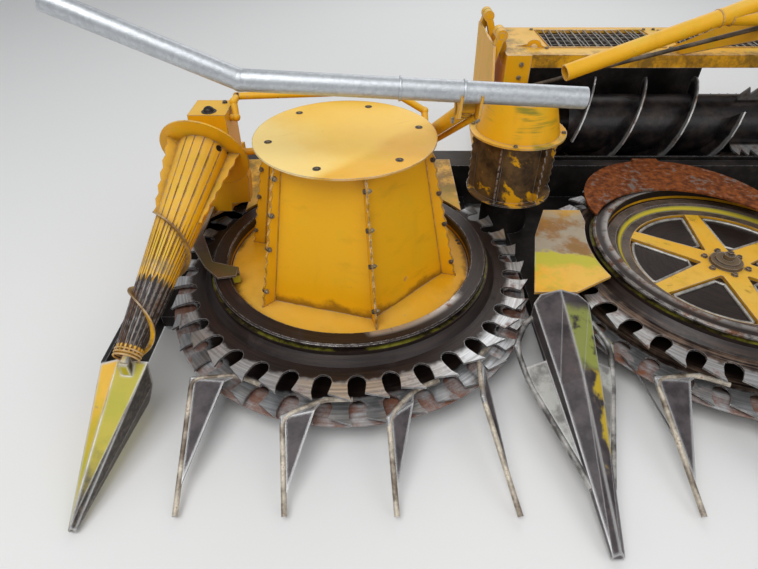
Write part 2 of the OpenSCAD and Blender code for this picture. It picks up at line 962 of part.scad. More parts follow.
// Upright plates that carry the middle push bar
module bar_supports() {
    back = deck_front + 130;
    color(YELLOW)
        translate([0, rotor_y, 0])
            for (x = [-support_x, support_x])
                difference() {
                    upright(x, 12)
                        polygon([
                            [back, deck_z],
                            [deck_front + 5, deck_z],
                            [bar_joint[1] - 50, bar_joint[2] - 60],
                            [bar_joint[1] - 50, bar_joint[2] + 10],
                            [bar_joint[1] + 60, bar_joint[2] + 10]
                        ]);
                    rod(bar_joint + [-200, 0, 0], flip(bar_joint) + [200, 0, 0], bar_r - 2 + seat_gap);
                }
}

// Thin stays from the end plates to the supports
module bar_stays() {
    r = 9;
    low = [-end_x + 70, deck_front - plate_t, 560];
    high = [-support_x - 6 - seat_gap, bar_joint[1] + 30, bar_joint[2] - 45];
    color(DARK)
        for (side = [-1, 1])
            on_side(side)
                intersection() {
                    rod(low - (high - low) * 0.05, high + (high - low) * 0.05, r);
                    box([-end_x, 0, 0], [high[0], low[1], 2000]);
                }
}

// Tube of the auger with its shaft and the toothed paddles in front of the mouth
module auger_tube() {
    paddle_t = 10;
    paddles = 4;
    paddle_reach = flight_r - auger_core_r;
    half = paddle_half - 20;
    teeth = 13;
    color(DARK)
        translate([0, rotor_y + auger_y, auger_z])
            rotate([0, 90, 0]) {
                translate([0, 0, -auger_half])
                    cylinder(h = 2 * auger_half, r = auger_core_r, $fn = 96);
                translate([0, 0, -end_x + 1])
                    cylinder(h = 2 * end_x - 2, r = auger_shaft_r);
                for (i = [0 : paddles - 1])
                    rotate([90, 0, 20 + i * 360 / paddles])
                        translate([auger_core_r, 0, -paddle_t / 2])
                            linear_extrude(paddle_t)
                                polygon(concat(
                                    [[-6, -half]],
                                    [for (k = [0 : 2 * teeth])
                                        [paddle_reach - (k % 2 == 0 ? 42 : 0), half * (k / teeth - 1)]],
                                    [[-6, half]]
                                ));
            }
}

// One flight: a ribbon wound round +X from x = 0, one ring of four corners a step
module flight(length) {
    steps_a_turn = 24;
    low_r = auger_core_r / cos(180 / steps_a_turn) + seat_gap;
    steps = ceil(length / flight_lead * steps_a_turn);
    rings = [
        for (i = [0 : steps]) let (
            x = length * i / steps,
            a = -360 * x / flight_lead
        )
            for (c = [[low_r, 0], [flight_r, 0], [flight_r, flight_t], [low_r, flight_t]])
                [x + c[1], c[0] * cos(a), c[0] * sin(a)]
    ];
    sides = [
        for (i = [0 : steps - 1])
            for (k = [0 : 3]) let (
                p = i * 4 + k,
                q = i * 4 + (k + 1) % 4
            )
                each [[p, q, q + 4], [p, q + 4, p + 4]]
    ];
    last = steps * 4;
    polyhedron(
        points = rings,
        faces = concat(sides, [[3, 2, 1], [3, 1, 0], [last, last + 1, last + 2], [last, last + 2, last + 3]])
    );
}

module auger_flights() {
    starts = 2;
    length = auger_half - paddle_half - flight_t;
    color(DARK)
        for (side = [-1, 1])
            on_side(side)
                translate([-auger_half, auger_y, auger_z])
                    for (i = [0 : starts - 1])
                        rotate([i * 360 / starts, 0, 0])
                            flight(length);
}

// Small upright feed drum at a corner of the auger's trough
module feed_drum(side) {
    strips = 6;
    strip_r = 190;
    strip = 6;
    steps = 16;
    top = hat_z - seat_gap;
    color(STEEL)
        on_side(side)
            translate([-feed_x, feed_y, 0])
                difference() {
                    union() {
                        translate([0, 0, feed_bottom_z])
                            cylinder(h = top - feed_bottom_z, r = feed_r);
                        translate([0, 0, feed_bottom_z])
                            cylinder(h = 8, r = strip_r);
                        for (i = [0 : strips - 1])
                            rotate([90, 0, i * 360 / strips])
                                translate([0, 0, -strip / 2])
                                    linear_extrude(strip)
                                        polygon(concat(
                                            [[feed_r - 6, feed_bottom_z + 4]],
                                            [for (k = [0 : steps]) [
                                                strip_r - (k % 2) * 7,
                                                feed_bottom_z + 4 + (top - feed_bottom_z - 8) * k / steps
                                            ]],
                                            [[feed_r - 6, top - 4]]
                                        ));
                    }
                    translate([0, 0, feed_bottom_z - 1])
                        cylinder(h = hat_z - 20 - feed_bottom_z, r = feed_stub_r + run_gap);
                }
}

// Hat over a feed drum
module feed_hat(side) {
    color(YELLOW)
        on_side(side)
            translate([-feed_x, feed_y, hat_z])
                rotate_extrude()
                    polygon([
                        [0, 0],
                        [hat_flange_r, 0],
                        [hat_flange_r, 8],
                        [hat_foot_r, 8],
                        [hat_top_r, hat_top_z - hat_z],
                        [0, hat_top_z - hat_z]
                    ]);
}

// Puts a piece on the left side drum's axis, +Z from the lower end to the upper
module on_cone(side) {
    on_side(side)
        translate(cone_low)
            rotate([0, cone_tilt, cone_turn])
                children();
}

cone_start = 16;
cone_bore_depth = 130;
low_stub_r = 12;
low_stub_depth = 40;
side_strip_angles = [126, 264, 15];
side_strip_low = 505;

// Radius over the side drum's ridges at a distance from the lower end
function cone_r_at(z) = cone_low_r + (cone_top_r - cone_low_r) * z / cone_len;

// One ring of the fluted drum: a groove and three places on the ridge for every flute
function flute_ring(z, depth, half) = [
    for (i = [0 : flute_count - 1])
        for (p = [
            [-half, 0], [-half * 0.4, depth], [half * 0.4, depth], [half, 0],
            [180 / flute_count - half * 0.4, 0], [180 / flute_count + half * 0.4, 0]
        ]) let (a = i * 360 / flute_count + p[0], r = cone_r_at(z) - p[1])
            [r * cos(a), r * sin(a), z]
];

// Tapered fluted side drum with serrated strips and its cover disc
module side_drum(side) {
    strip = 6;
    steps = 12;
    strip_top = cone_len - 4;
    cap_t = 6;
    color(YELLOW)
        on_cone(side)
            difference() {
                union() {
                    loft([flute_ring(cone_start, 7, 6), flute_ring(cone_len - 2, 2.5, 1.4)]);
                    translate([0, 0, cone_len - cap_t])
                        cylinder(h = cap_t, r = cone_cap_r, $fn = 96);
                    for (a = side_strip_angles)
                        rotate([90, 0, a])
                            translate([0, 0, -strip / 2])
                                linear_extrude(strip)
                                    polygon(concat(
                                        [[cone_r_at(side_strip_low) - 9, side_strip_low]],
                                        [for (k = [0 : steps]) let (
                                            z = side_strip_low + (strip_top - side_strip_low) * k / steps
                                        ) [cone_r_at(z) + 12 + 32 * k / steps - (k % 2) * 7, z]],
                                        [[cone_r_at(strip_top) - 9, strip_top]]
                                    ));
                }
                translate([0, 0, cone_len - cone_bore_depth])
                    cylinder(h = cone_bore_depth + 1, r = spindle_r + run_gap);
                translate([0, 0, cone_start - 1])
                    cylinder(h = low_stub_depth + 1, r = low_stub_r + run_gap);
            }
}

// Flat bar wound round the lower part of a side drum, swept from its upper to its lower end
module side_helix(side) {
    lead = 293;
    bar_h = 15;
    bar_t = 6;
    low = 38;
    per_turn = 36;
    steps = ceil((side_strip_low - low) / lead * per_turn);
    color(YELLOW)
        on_cone(side)
            loft([
                for (i = [0 : steps]) let (
                    z = side_strip_low - 8 + (low - side_strip_low) * i / steps,
                    a = side_strip_angles[0] + (side_strip_low - z) * 360 / lead,
                    in_r = cone_r_at(z) / cos(180 / per_turn) + seat_gap,
                    out_r = in_r + bar_h
                ) [
                    for (c = [[in_r, -1], [in_r, 1], [out_r, 1], [out_r, -1]])
                        [c[0] * cos(a), c[0] * sin(a), z + c[1] * bar_t / 2]
                ]
            ]);
}

// Frame of a wing: gear beam, rear beam, side plate, skid and spindle
module wing_frame(side) {
    pan_inner = 1700;
    color(DARK)
        on_side(side) {
            box([-side_in, pan_front, pan_bottom_z], [-pan_inner, beam_front + 10, pan_top_z]);
            box([-side_in - 1, beam_front, pan_bottom_z + 8], [-wing_end_x - plate_t, beam_back, cover_z]);
            box([-half_width, side_plate_front, pan_bottom_z], [-side_in, beam_back, cover_z]);
            translate([outer_x, 0, 0]) {
                cylinder(h = pan_top_z, r = skid_r, $fn = 96);
                cylinder(h = spindle_top_z, r = hub_bore_r);
            }
        }
}

// Cover behind the outer rotor, corner panel beside it and the stripper that reaches into the ring
module wing_cover(side) {
    panel_top = 380;
    panel_back = 210;
    arm_z = ring_top_z + 6;
    arm_t = 8;
    finger_r = ring_inner_r - 22;
    finger_a = 200;
    color(YELLOW)
        on_side(side) {
            translate([outer_x, 0, 0])
                crescent(470);
            translate([0, 0, cover_z + cover_t])
                linear_extrude(panel_top - cover_z - cover_t)
                    polygon([
                        [-side_in, 280], [-side_in + 12, 280],
                        [panel_back - half_width, beam_front], [panel_back - 14 - half_width, beam_front]
                    ]);
            translate([0, 0, cover_z])
                linear_extrude(cover_t)
                    difference() {
                        polygon([
                            [-half_width, 250],
                            [140 - half_width, 250],
                            [300 - half_width, 440],
                            [300 - half_width, beam_front + 50],
                            [-half_width, beam_front + 50]
                        ]);
                        translate([outer_x, 0])
                            ring_room();
                    }
            box([104 - half_width, 255, cover_z + cover_t - 1], [150 - half_width, 288, arm_z + 1]);
            translate([outer_x, 0, arm_z])
                linear_extrude(arm_t)
                    polygon([
                        [-652, 288], [-597, 288], [-594, 82], [-509, -107],
                        [finger_r * cos(finger_a) + 12, finger_r * sin(finger_a) + 12],
                        [finger_r * cos(finger_a) + 12, finger_r * sin(finger_a) - 38],
                        [-469, -202], [-530, -140], [-587, -50], [-650, 60]
                    ]);
            translate([outer_x, 0, 0])
                rotate([0, 0, finger_a])
                    box([finger_r - 14, -16, drum_low_z + 8], [finger_r + 14, 16, arm_z + 1]);
        }
}

// Pointed outer divider under the side drum
module wing_snout(side) {
    out = half_width;
    color(STEEL)
        on_side(side) {
            loft([
                [
                    for (p = [[0, 60], [100, 60], [135, 150], [147, 253], [59, 267], [0, 248]])
                        [p[0] - out, side_plate_front, p[1]]
                ],
                [
                    for (p = [[0, 12], [20, 12], [22, 18], [22, 24], [7, 34], [0, 22]])
                        [p[0] - out, -snout_reach, p[1]]
                ]
            ]);
            translate([0, 0, -3])
                box(cone_low - [18, 24, 90], cone_low + [12, 6, 0]);
            rod(cone_low - cone_way * 14, cone_low + cone_way * (low_stub_depth + 5), low_stub_r);
        }
}

// Column behind the side drum: its head holds the drum's spindle, and a brace meets the main arm
module side_bearing(side) {
    front = 290;
    depth = 60;
    head_front = 200;
    head_low = 540;
    head_top = 726;
    brace = [300 - half_width - 4, front + 40, 520];
    color(YELLOW)
        on_side(side)
            difference() {
                union() {
                    translate([0, front + depth, 0])
                        rotate([90, 0, 0])
                            linear_extrude(depth)
                                polygon([
                                    [110 - half_width, cover_z + cover_t],
                                    [224 - half_width, cover_z + cover_t],
                                    [232 - half_width, ring_top_z + 26],
                                    [310 - half_width, ring_top_z + 36],
                                    [320 - half_width, 420],
                                    [300 - half_width, head_low],
                                    [300 - half_width, head_top],
                                    [160 - half_width, head_top],
                                    [140 - half_width, 420]
                                ]);
                    box([160 - half_width, head_front, head_low],
                        [300 - half_width, front + depth, head_top]);
                    rod(cone_high - cone_way * (cone_bore_depth - 4), cone_high + cone_way * 80, spindle_r);
                    rod(brace, brace_end, 14);
                }
                rod(arm_high, arm_low, arm_r + seat_gap);
            }
}

// Push bar over a wing: [across, along, up] of its bends
wing_bar = [[-1557, -200, 936], [-2520, -200, 986], [15 - half_width, -200, 1186]];

module wing_push_bar(side) {
    lead_in = (wing_bar[0] - wing_bar[1]) / norm(wing_bar[0] - wing_bar[1]);
    lead_out = (wing_bar[2] - wing_bar[1]) / norm(wing_bar[2] - wing_bar[1]);
    color(GALVANISED)
        on_side(side)
            difference() {
                bent_rod(wing_bar, bar_r);
                rod(wing_bar[0] + lead_in * 5, wing_bar[0] - lead_in * 220, bar_r - bar_wall);
                rod(wing_bar[2] + lead_out * 5, wing_bar[2] - lead_out * 220, bar_r - bar_wall);
            }
}

// Clamp under the wing's push bar, and the ends of the main arm below it
clamp_x = -1880;
clamp_z = wing_bar[0][2]
    + (wing_bar[1][2] - wing_bar[0][2]) * (clamp_x - wing_bar[0][0]) / (wing_bar[1][0] - wing_bar[0][0]);
arm_r = 24;
arm_high = [clamp_x, wing_bar[0][1] + 40, clamp_z - 60];
arm_low = [-2040, 850, cover_z + 4];
arm_way = (arm_low - arm_high) / norm(arm_low - arm_high);
brace_end = arm_high + (arm_low - arm_high) * 0.574;

// Bracket under the wing's push bar and the two arms that carry it
module wing_bar_arms(side) {
    bar_y = wing_bar[0][1];
    cheek_gap = 28;
    color(YELLOW)
        on_side(side)
            difference() {
                union() {
                    for (x = [clamp_x - cheek_gap, clamp_x + cheek_gap])
                        upright(x, 8)
                            polygon([
                                [bar_y - 36, clamp_z],
                                [bar_y + 36, clamp_z],
                                [bar_y + 90, clamp_z - 60],
                                [bar_y + 40, clamp_z - 95],
                                [bar_y - 20, clamp_z - 70]
                            ]);
                    rod(arm_high - [36, 0, 0], arm_high + [36, 0, 0], 16);
                    rod(arm_high, arm_low, arm_r);
                    rod(arm_high + [30, -10, -20], arm_low + [60, -10, 0], 10);
                    box(arm_low - [30, 50, 4], arm_low + [90, 40, 8]);
                }
                rod(wing_bar[0], wing_bar[1], bar_r + seat_gap);
                box([-half_width, 0, 0], [-hinge_x, deck_back, cover_z]);
            }
}

// Thin bent guard bar behind the drum's lid, from the side drum's column to the main arm
module wing_guard(side) {
    r = 13;
    behind = lid_r + 24;
    start = [300 - half_width + seat_gap, 262, drum_top_z - 46];
    along = arm_high + arm_way * norm(arm_low - arm_high) * 0.45;
    off = [0, 0, 1] - arm_way * arm_way[2];
    away = off / norm(off);
    color(YELLOW)
        on_side(side)
            bent_rod([
                start,
                start + [22, 0, 0],
                start + [14, 30, 48],
                [outer_x - 430, behind, drum_top_z + 8],
                [outer_x + 160, behind, drum_top_z + 28],
                along + away * 95,
                along + away * (arm_r + seat_gap)
            ], r, 1.2);
}

gear_beam();
auger_trough();
rear_wall();
adapter_frame();
drive_housing();
top_deck();
deck_grilles();
end_plate(-1);  // end_plate_left
end_plate(1);  // end_plate_right
crescent_plates();
cover_plates();
divider_snouts();
centre_points();
centre_push_bar();
bar_supports();
bar_stays();
auger_tube();
auger_flights();
inner_discs(-1);  // inner_discs_left
inner_discs(1);  // inner_discs_right
spoked_cap(-1);  // spoked_cap_left
spoked_cap(1);  // spoked_cap_right
outer_discs(-1);  // outer_discs_left
outer_discs(1);  // outer_discs_right
drum(-1);  // drum_left
drum(1);  // drum_right
drum_strips(-1);  // drum_strips_left
drum_strips(1);  // drum_strips_right
feed_drum(-1);  // feed_drum_left
feed_drum(1);  // feed_drum_right
feed_hat(-1);  // feed_hat_left
feed_hat(1);  // feed_hat_right
side_drum(-1);  // side_drum_left
side_drum(1);  // side_drum_right
side_helix(-1);  // side_helix_left
side_helix(1);  // side_helix_right
wing_frame(-1);  // wing_frame_left
wing_frame(1);  // wing_frame_right
wing_hinge(-1);  // wing_hinge_left
wing_hinge(1);  // wing_hinge_right
wing_cover(-1);  // wing_cover_left
wing_cover(1);  // wing_cover_right
wing_points(-1);  // wing_points_left
wing_points(1);  // wing_points_right
wing_snout(-1);  // wing_snout_left
wing_snout(1);  // wing_snout_right
side_bearing(-1);  // side_bearing_left
side_bearing(1);  // side_bearing_right
wing_push_bar(-1);  // wing_push_bar_left
wing_push_bar(1);  // wing_push_bar_right
wing_bar_arms(-1);  // wing_bar_arms_left
wing_bar_arms(1);  // wing_bar_arms_right
wing_guard(-1);  // wing_guard_left
wing_guard(1);  // wing_guard_right
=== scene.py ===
# Paint, bare steel, wear, fittings and a plain studio for a six-metre rotary forage header.
# Metres. +Z is up, -Y is the direction of travel and +X is the header's width.

import math
import random

import bmesh
import bpy
from bpy.props import FloatProperty, FloatVectorProperty, PointerProperty
from mathutils import Matrix, Vector


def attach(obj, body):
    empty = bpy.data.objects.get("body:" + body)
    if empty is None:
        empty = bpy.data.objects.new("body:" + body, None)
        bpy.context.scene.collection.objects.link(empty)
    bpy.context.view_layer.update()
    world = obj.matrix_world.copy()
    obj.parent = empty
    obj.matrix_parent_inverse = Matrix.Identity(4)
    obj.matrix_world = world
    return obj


bl_info = {
    "name": "Rotary Forage Header",
    "version": (1, 0, 0),
    "blender": (4, 5, 0),
    "location": "View3D > Sidebar > Header",
    "description": "Dresses a rotary forage header in worn paint, bare steel and fittings",
    "category": "Object",
}

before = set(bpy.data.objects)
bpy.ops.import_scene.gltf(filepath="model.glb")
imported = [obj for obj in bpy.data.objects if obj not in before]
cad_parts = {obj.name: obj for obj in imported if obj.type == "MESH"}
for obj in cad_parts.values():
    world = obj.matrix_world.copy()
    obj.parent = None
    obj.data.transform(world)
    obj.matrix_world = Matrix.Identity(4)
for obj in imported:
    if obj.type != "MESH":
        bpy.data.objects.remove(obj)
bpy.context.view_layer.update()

# Places in the frame that follow the solids
ROTOR_PITCH = 1.5
ROTOR_Y = -0.235
OUTER_X = -1.5 * ROTOR_PITCH
INNER_X = -0.5 * ROTOR_PITCH
DRUM_FLOOR_Z = 0.2273
DRUM_LID_Z = 0.7337
STRIP_TURN = -15.5  # degrees, the first strip of a tall drum
SPOKE_TURN = 26.0  # degrees, the first spoke of a low cap
FEED_X = -1.54
FEED_Y = 0.5  # from the rotors' line
AUGER_Y = 0.815
AUGER_Z = 0.34
SIDE_LOW = Vector((-2.905, -0.592 + ROTOR_Y, 0.285))
SIDE_HIGH = Vector((-2.789, 0.160 + ROTOR_Y, 0.596))
SIDES = ("left", "right")
UP = (0.0, 0.0, 1.0)


def shown(*channels):
    """Colour as a screen shows it, 0 to 255, in the renderer's own numbers."""
    return tuple(((c / 255 + 0.055) / 1.055) ** 2.4 if c > 10 else c / 3294.6 for c in channels)


def along(x, y, z):
    """Place whose y is counted from the line through the rotors' axes."""
    return Vector((x, y + ROTOR_Y, z))


def on_circle(centre_x, r, degrees, z, centre_y=0.0):
    """Place on a level circle, which goes round a rotor's axis unless centre_y says otherwise."""
    a = math.radians(degrees)
    return along(centre_x + r * math.cos(a), centre_y + r * math.sin(a), z)


def seat(at, axis=UP, turn=0.0):
    """Seat of a bolt or turned form: a frame at a point with its Z along axis."""
    return (
        Matrix.Translation(at) @ Vector(axis).to_track_quat("Z", "Y").to_matrix().to_4x4()
        @ Matrix.Rotation(math.radians(turn), 4, "Z"))


# ---- sizes and colours that a user would change ----


def colour(name, description, default):
    return FloatVectorProperty(
        name=name, description=description, subtype="COLOR", size=3, min=0, max=1, default=default)


class HeaderColours(bpy.types.PropertyGroup):
    yellow: colour("Yellow paint", "Paint of the sheets and bars", (0.86, 0.43, 0.004))
    faded: colour("Faded yellow", "Paint where sun and rain reach it", (0.88, 0.62, 0.16))
    lime: colour("Stained yellow", "Paint that crop juice has stained", (0.50, 0.50, 0.035))
    bright: colour("Bright steel", "Steel that the crop keeps polished", (0.56, 0.57, 0.59))
    rust: colour("Rust", "Rust on steel and at chipped edges", (0.19, 0.065, 0.025))
    dirt: colour("Dried juice", "Brown film of dried crop juice", (0.030, 0.017, 0.012))
    wear: FloatProperty(
        name="Wear", description="How far paint is worn off at edges", subtype="FACTOR",
        min=0, max=1, default=0.5)


class HeaderFittings(bpy.types.PropertyGroup):
    bolt: FloatProperty(
        name="Bolt head", description="Width of a bolt head", unit="LENGTH",
        min=0.008, max=0.03, default=0.015)
    ridge: FloatProperty(
        name="Ridge", description="Radius of the embossed ridges round the cap's windows", unit="LENGTH",
        min=0.002, max=0.01, default=0.007)
    wire: FloatProperty(
        name="Wire", description="Radius of the wires over the deck's windows", unit="LENGTH",
        min=0.001, max=0.005, default=0.0025)


class HeaderStudio(bpy.types.PropertyGroup):
    floor: colour("Floor", "Colour of the floor", (0.86, 0.86, 0.85))
    key: FloatProperty(
        name="Key lamp", description="Strength of the soft overhead lamp", min=0, max=5000, default=185)
    sky: FloatProperty(
        name="Sky", description="Strength of the plain sky", min=0, max=2, default=0.40)
    lens: FloatProperty(
        name="Lens", description="Focal length on a 36 mm sensor", unit="CAMERA",
        min=10, max=200, default=24.93)


# ---- shader maths ----


class Wire:
    """One output socket of a finish, which plain arithmetic joins to Math nodes."""

    def __init__(self, finish, socket):
        self.finish = finish
        self.socket = socket

    def maths(self, operation, *values):
        """A Math node of this wire's finish, fed with the values."""
        return self.finish.node("ShaderNodeMath", {"operation": operation}, dict(enumerate(values)))

    def __add__(self, other):
        return self.maths("ADD", self, other)

    def __radd__(self, other):
        return self.maths("ADD", other, self)

    def __sub__(self, other):
        return self.maths("SUBTRACT", self, other)

    def __rsub__(self, other):
        return self.maths("SUBTRACT", other, self)

    def __mul__(self, other):
        return self.maths("MULTIPLY", self, other)

    def __rmul__(self, other):
        return self.maths("MULTIPLY", other, self)

    def __truediv__(self, other):
        return self.maths("DIVIDE", self, other)

    def __pow__(self, other):
        return self.maths("POWER", self, other)

    def __mod__(self, other):
        return self.maths("MODULO", self, other)

    def __abs__(self):
        return self.maths("ABSOLUTE", self)

    def most(self, other):
        return self.maths("MAXIMUM", self, other)

    def least(self, other):
        return self.maths("MINIMUM", self, other)

    def band(self, low, high, soft=0.002):
        """1 between low and high."""
        return self.ramp(low - soft, low + soft) * self.ramp(high + soft, high - soft)

    def ramp(self, low, high):
        """0 at low and 1 at high, smooth between; low may be the greater one."""
        return self.finish.node(
            "ShaderNodeMapRange", {"interpolation_type": "SMOOTHSTEP"},
            {"Value": self, "From Min": low, "From Max": high})


class Finish:
    """A procedural material round one Principled shader."""

    def __init__(self, name, roughness=0.5, metallic=0.0, gloss=0.5):
        self.material = bpy.data.materials.new(name)
        self.material.use_nodes = True
        self.tree = self.material.node_tree
        self.tree.nodes.clear()
        self.shader = self.tree.nodes.new("ShaderNodeBsdfPrincipled")
        self.shader.inputs["Roughness"].default_value = roughness
        self.shader.inputs["Metallic"].default_value = metallic
        self.shader.inputs["Specular IOR Level"].default_value = gloss
        end = self.tree.nodes.new("ShaderNodeOutputMaterial")
        self.tree.links.new(self.shader.outputs[0], end.inputs["Surface"])
        self.place = self.node("ShaderNodeTexCoord", out="Object")
        self.facing = self.node("ShaderNodeTexCoord", out="Normal")

    def node(self, kind, settings=None, inputs=None, out=0):
        """A node: its settings go in first, then the values or links of its sockets."""
        made = self.tree.nodes.new(kind)
        for key, value in (settings or {}).items():
            setattr(made, key, value)
        for key, value in (inputs or {}).items():
            if isinstance(value, Wire):
                self.tree.links.new(value.socket, made.inputs[key])
            else:
                made.inputs[key].default_value = value
        return Wire(self, made.outputs[out])

    def noise(self, scale, detail=3.0, rough=0.55, at=None, seed=0.0):
        """Cloudy pattern from about 0.2 to 0.8; scale is in patches a metre."""
        return self.node(
            "ShaderNodeTexNoise", {"noise_dimensions": "4D"},
            {"Vector": at or self.place, "W": seed, "Scale": scale, "Detail": detail, "Roughness": rough})

    def cells(self, scale):
        """A colour by chance for each cell of a pattern."""
        return self.node("ShaderNodeTexVoronoi", inputs={"Vector": self.place, "Scale": scale}, out="Color")

    def axis(self, name, of=None):
        return self.node("ShaderNodeSeparateXYZ", inputs={0: of or self.place}, out=name)

    def point(self, x, y, z):
        return self.node("ShaderNodeCombineXYZ", inputs={"X": x, "Y": y, "Z": z})

    def vector(self, operation, *values, out=0):
        return self.node("ShaderNodeVectorMath", {"operation": operation}, dict(enumerate(values)), out)

    def mix(self, share, first, second):
        """Colour that goes from first to second with share."""
        rgba = [v if isinstance(v, Wire) else (*v[:3], 1) for v in (first, second)]
        return self.node("ShaderNodeMix", {"data_type": "RGBA"}, {0: share, 6: rgba[0], 7: rgba[1]}, 2)

    def edges(self, width, low=0.985, high=0.93):
        """1 within about width of an edge."""
        soft = self.node("ShaderNodeBevel", {"samples": 4}, {"Radius": width})
        true = self.node("ShaderNodeNewGeometry", out="Normal")
        return self.vector("DOT_PRODUCT", soft, true, out="Value").ramp(low, high)

    def hollows(self, reach):
        """1 deep in corners and gaps, 0 on open faces."""
        return self.node(
            "ShaderNodeAmbientOcclusion", {"samples": 4}, {"Distance": reach}, "AO").ramp(0.95, 0.35)

    def upward(self):
        return self.axis("Z", self.facing)

    def from_rotor(self):
        """Place across and along from the nearest rotor's axis, as on the left half."""
        return ROTOR_PITCH / 2 - abs(self.axis("X")) % ROTOR_PITCH, self.axis("Y") - ROTOR_Y

    def wheel(self):
        """Distance from the nearest rotor's axis, and the angle round it."""
        x, y = self.from_rotor()
        return (x * x + y * y) ** 0.5, x.maths("ARCTAN2", y, x)

    def set(self, **sockets):
        """Feeds what varies over the surface: Base_Color, Roughness, Metallic, Coat_Weight."""
        for key, value in sockets.items():
            self.tree.links.new(value.socket, self.shader.inputs[key.replace("_", " ")])

    def relief(self, height, depth):
        bump = self.node(
            "ShaderNodeBump", inputs={"Strength": 1.0, "Distance": depth, "Height": height})
        self.tree.links.new(bump.socket, self.shader.inputs["Normal"])


def finish_nodes(material, *nodes):
    """Gives solids of the frame a material."""
    for name in nodes:
        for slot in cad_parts[name].material_slots:
            slot.material = material


def both(*stems):
    return [f"{stem}_{side}" for stem in stems for side in SIDES]


def coat(name, bleach=0.5, lime=0.3, grime_and_shade=0.5, chips=0.5, stain=None):
    """Old yellow paint, bleached on top, stained by juice, with painted shade and dirt in corners, and worn
    at edges.
    """
    colours = bpy.context.scene.header_colours
    f = Finish(name, gloss=0.35)
    broad = f.noise(1.7, 4.0, 0.6)
    patch = f.noise(9.0, 5.0, 0.65, seed=3.0)
    fine = f.noise(70.0, 3.0, 0.6, seed=7.0)
    streaks = f.noise(14.0, 4.0, 0.6, at=f.vector("MULTIPLY", f.place, (1.0, 1.0, 0.18)), seed=1.0)
    sun = f.upward().ramp(0.2, 0.95) * (0.45 + broad).ramp(0.75, 1.1) * bleach
    paint = f.mix(sun, colours.yellow, colours.faded)
    paint = f.mix(patch.ramp(0.50, 0.68) * lime, paint, colours.lime)
    shade = (streaks.ramp(0.52, 0.78) * 0.26 + fine.ramp(0.55, 0.85) * 0.16) * grime_and_shade
    # Painted shade with dirt: ambient occlusion darkens corners and gaps towards brown, mixed in with the
    # streaks of dirt
    corner = f.hollows(0.05) * (0.35 + patch) * grime_and_shade
    paint = f.mix((shade + corner * 0.8).least(0.92), paint, shown(116, 82, 22))
    if stain:
        paint = stain(f, paint, patch, fine)
    edge = f.edges(0.005)
    bare = (edge * (fine * 0.8 + patch + colours.wear * 0.5)).ramp(1.05 - chips * 0.5, 1.25 - chips * 0.5)
    spots = f.noise(38.0, 2.0, 0.5, seed=11.0).ramp(0.70, 0.735) * patch.ramp(0.45, 0.6)
    worn = bare.most(spots * chips)
    rusty = patch.ramp(0.42, 0.62)
    f.set(
        Base_Color=f.mix(worn, paint, f.mix(rusty, colours.bright, colours.rust)),
        Roughness=0.34 + patch * 0.22 + corner * 0.3,
        Metallic=worn * (1 - rusty) * 0.8,
    )
    f.relief(fine * 0.25 + (1 - worn) * 0.6 + patch * 0.5, 0.0012)
    return f.material


def scratches(f, turn, seed):
    """Thin scratches that run along one way."""
    way = (math.cos(turn), math.sin(turn), 0.0)
    across = f.vector("DOT_PRODUCT", f.place, (-way[1], way[0], 0.0), out="Value")
    run = f.vector("DOT_PRODUCT", f.place, way, out="Value")
    lines = f.noise(1.0, 2.0, 0.5, at=f.point(across * 160.0, run * 5.0, f.axis("Z") * 9.0), seed=seed)
    return lines.ramp(0.70, 0.78)


def drum_stain(f, paint, patch, fine):
    """Lid bleached almost white with a warm wedge: partly faded paint, partly a painted sky reflection, with
    a painted highlight whiter on one side; painted shade with dirt at the feet of the panels.
    """
    x, y = f.from_rotor()
    r = f.wheel()[0]
    z = f.axis("Z")
    lid = z.ramp(0.731, 0.734)
    wedge = (x * 0.77 - y * 0.64 + (f.noise(4.0, 3.0, 0.55, seed=21.0) - 0.5) * 0.16).ramp(0.105, 0.175)
    # Outside the wedge the lid is painted pale: faded paint together with a painted sky reflection
    pale = lid * (1 - wedge)
    paint = f.mix(pale * (0.35 + patch * 0.7).least(0.9), paint, shown(254, 208, 88))
    # Painted highlight: the pale lid is painted whiter towards one side
    painted_lid_highlight = pale * (0 - x * 0.9 - y * 0.45 + (patch - 0.5) * 0.18).ramp(0.02, 0.27)
    paint = f.mix(painted_lid_highlight * 0.65, paint, shown(255, 232, 160))
    marks = scratches(f, 0.5, 31.0).most(scratches(f, 2.2, 33.0)) * lid
    paint = f.mix(marks * 0.3, paint, shown(120, 92, 40))
    panel = 1 - lid
    # Painted shade along the panels' feet, where they stand on the floor, together with brown dirt
    foot = (z + (patch - 0.5) * 0.10).ramp(0.262, 0.236) * panel * z.ramp(0.2265, 0.2285)
    paint = f.mix(foot * 0.75, paint, shown(104, 70, 20))
    rim = z.ramp(0.2285, 0.2275) * (r + (patch - 0.5) * 0.10).ramp(0.440, 0.462)
    paint = f.mix(rim * 0.8, paint, shown(84, 54, 20))
    smear = f.noise(5.0, 4.0, 0.6, at=f.vector("MULTIPLY", f.place, (1.0, 1.0, 2.6)), seed=24.0)
    return f.mix(smear.ramp(0.54, 0.76) * panel * 0.4, paint, shown(176, 128, 20))


def fin_stain(f, paint, patch, fine):
    """Edges of the drum's strips rubbed brown."""
    rubbed = f.edges(0.010) * (0.5 + patch)
    return f.mix(rubbed.ramp(0.25, 0.7) * 0.85, paint, shown(74, 46, 22))


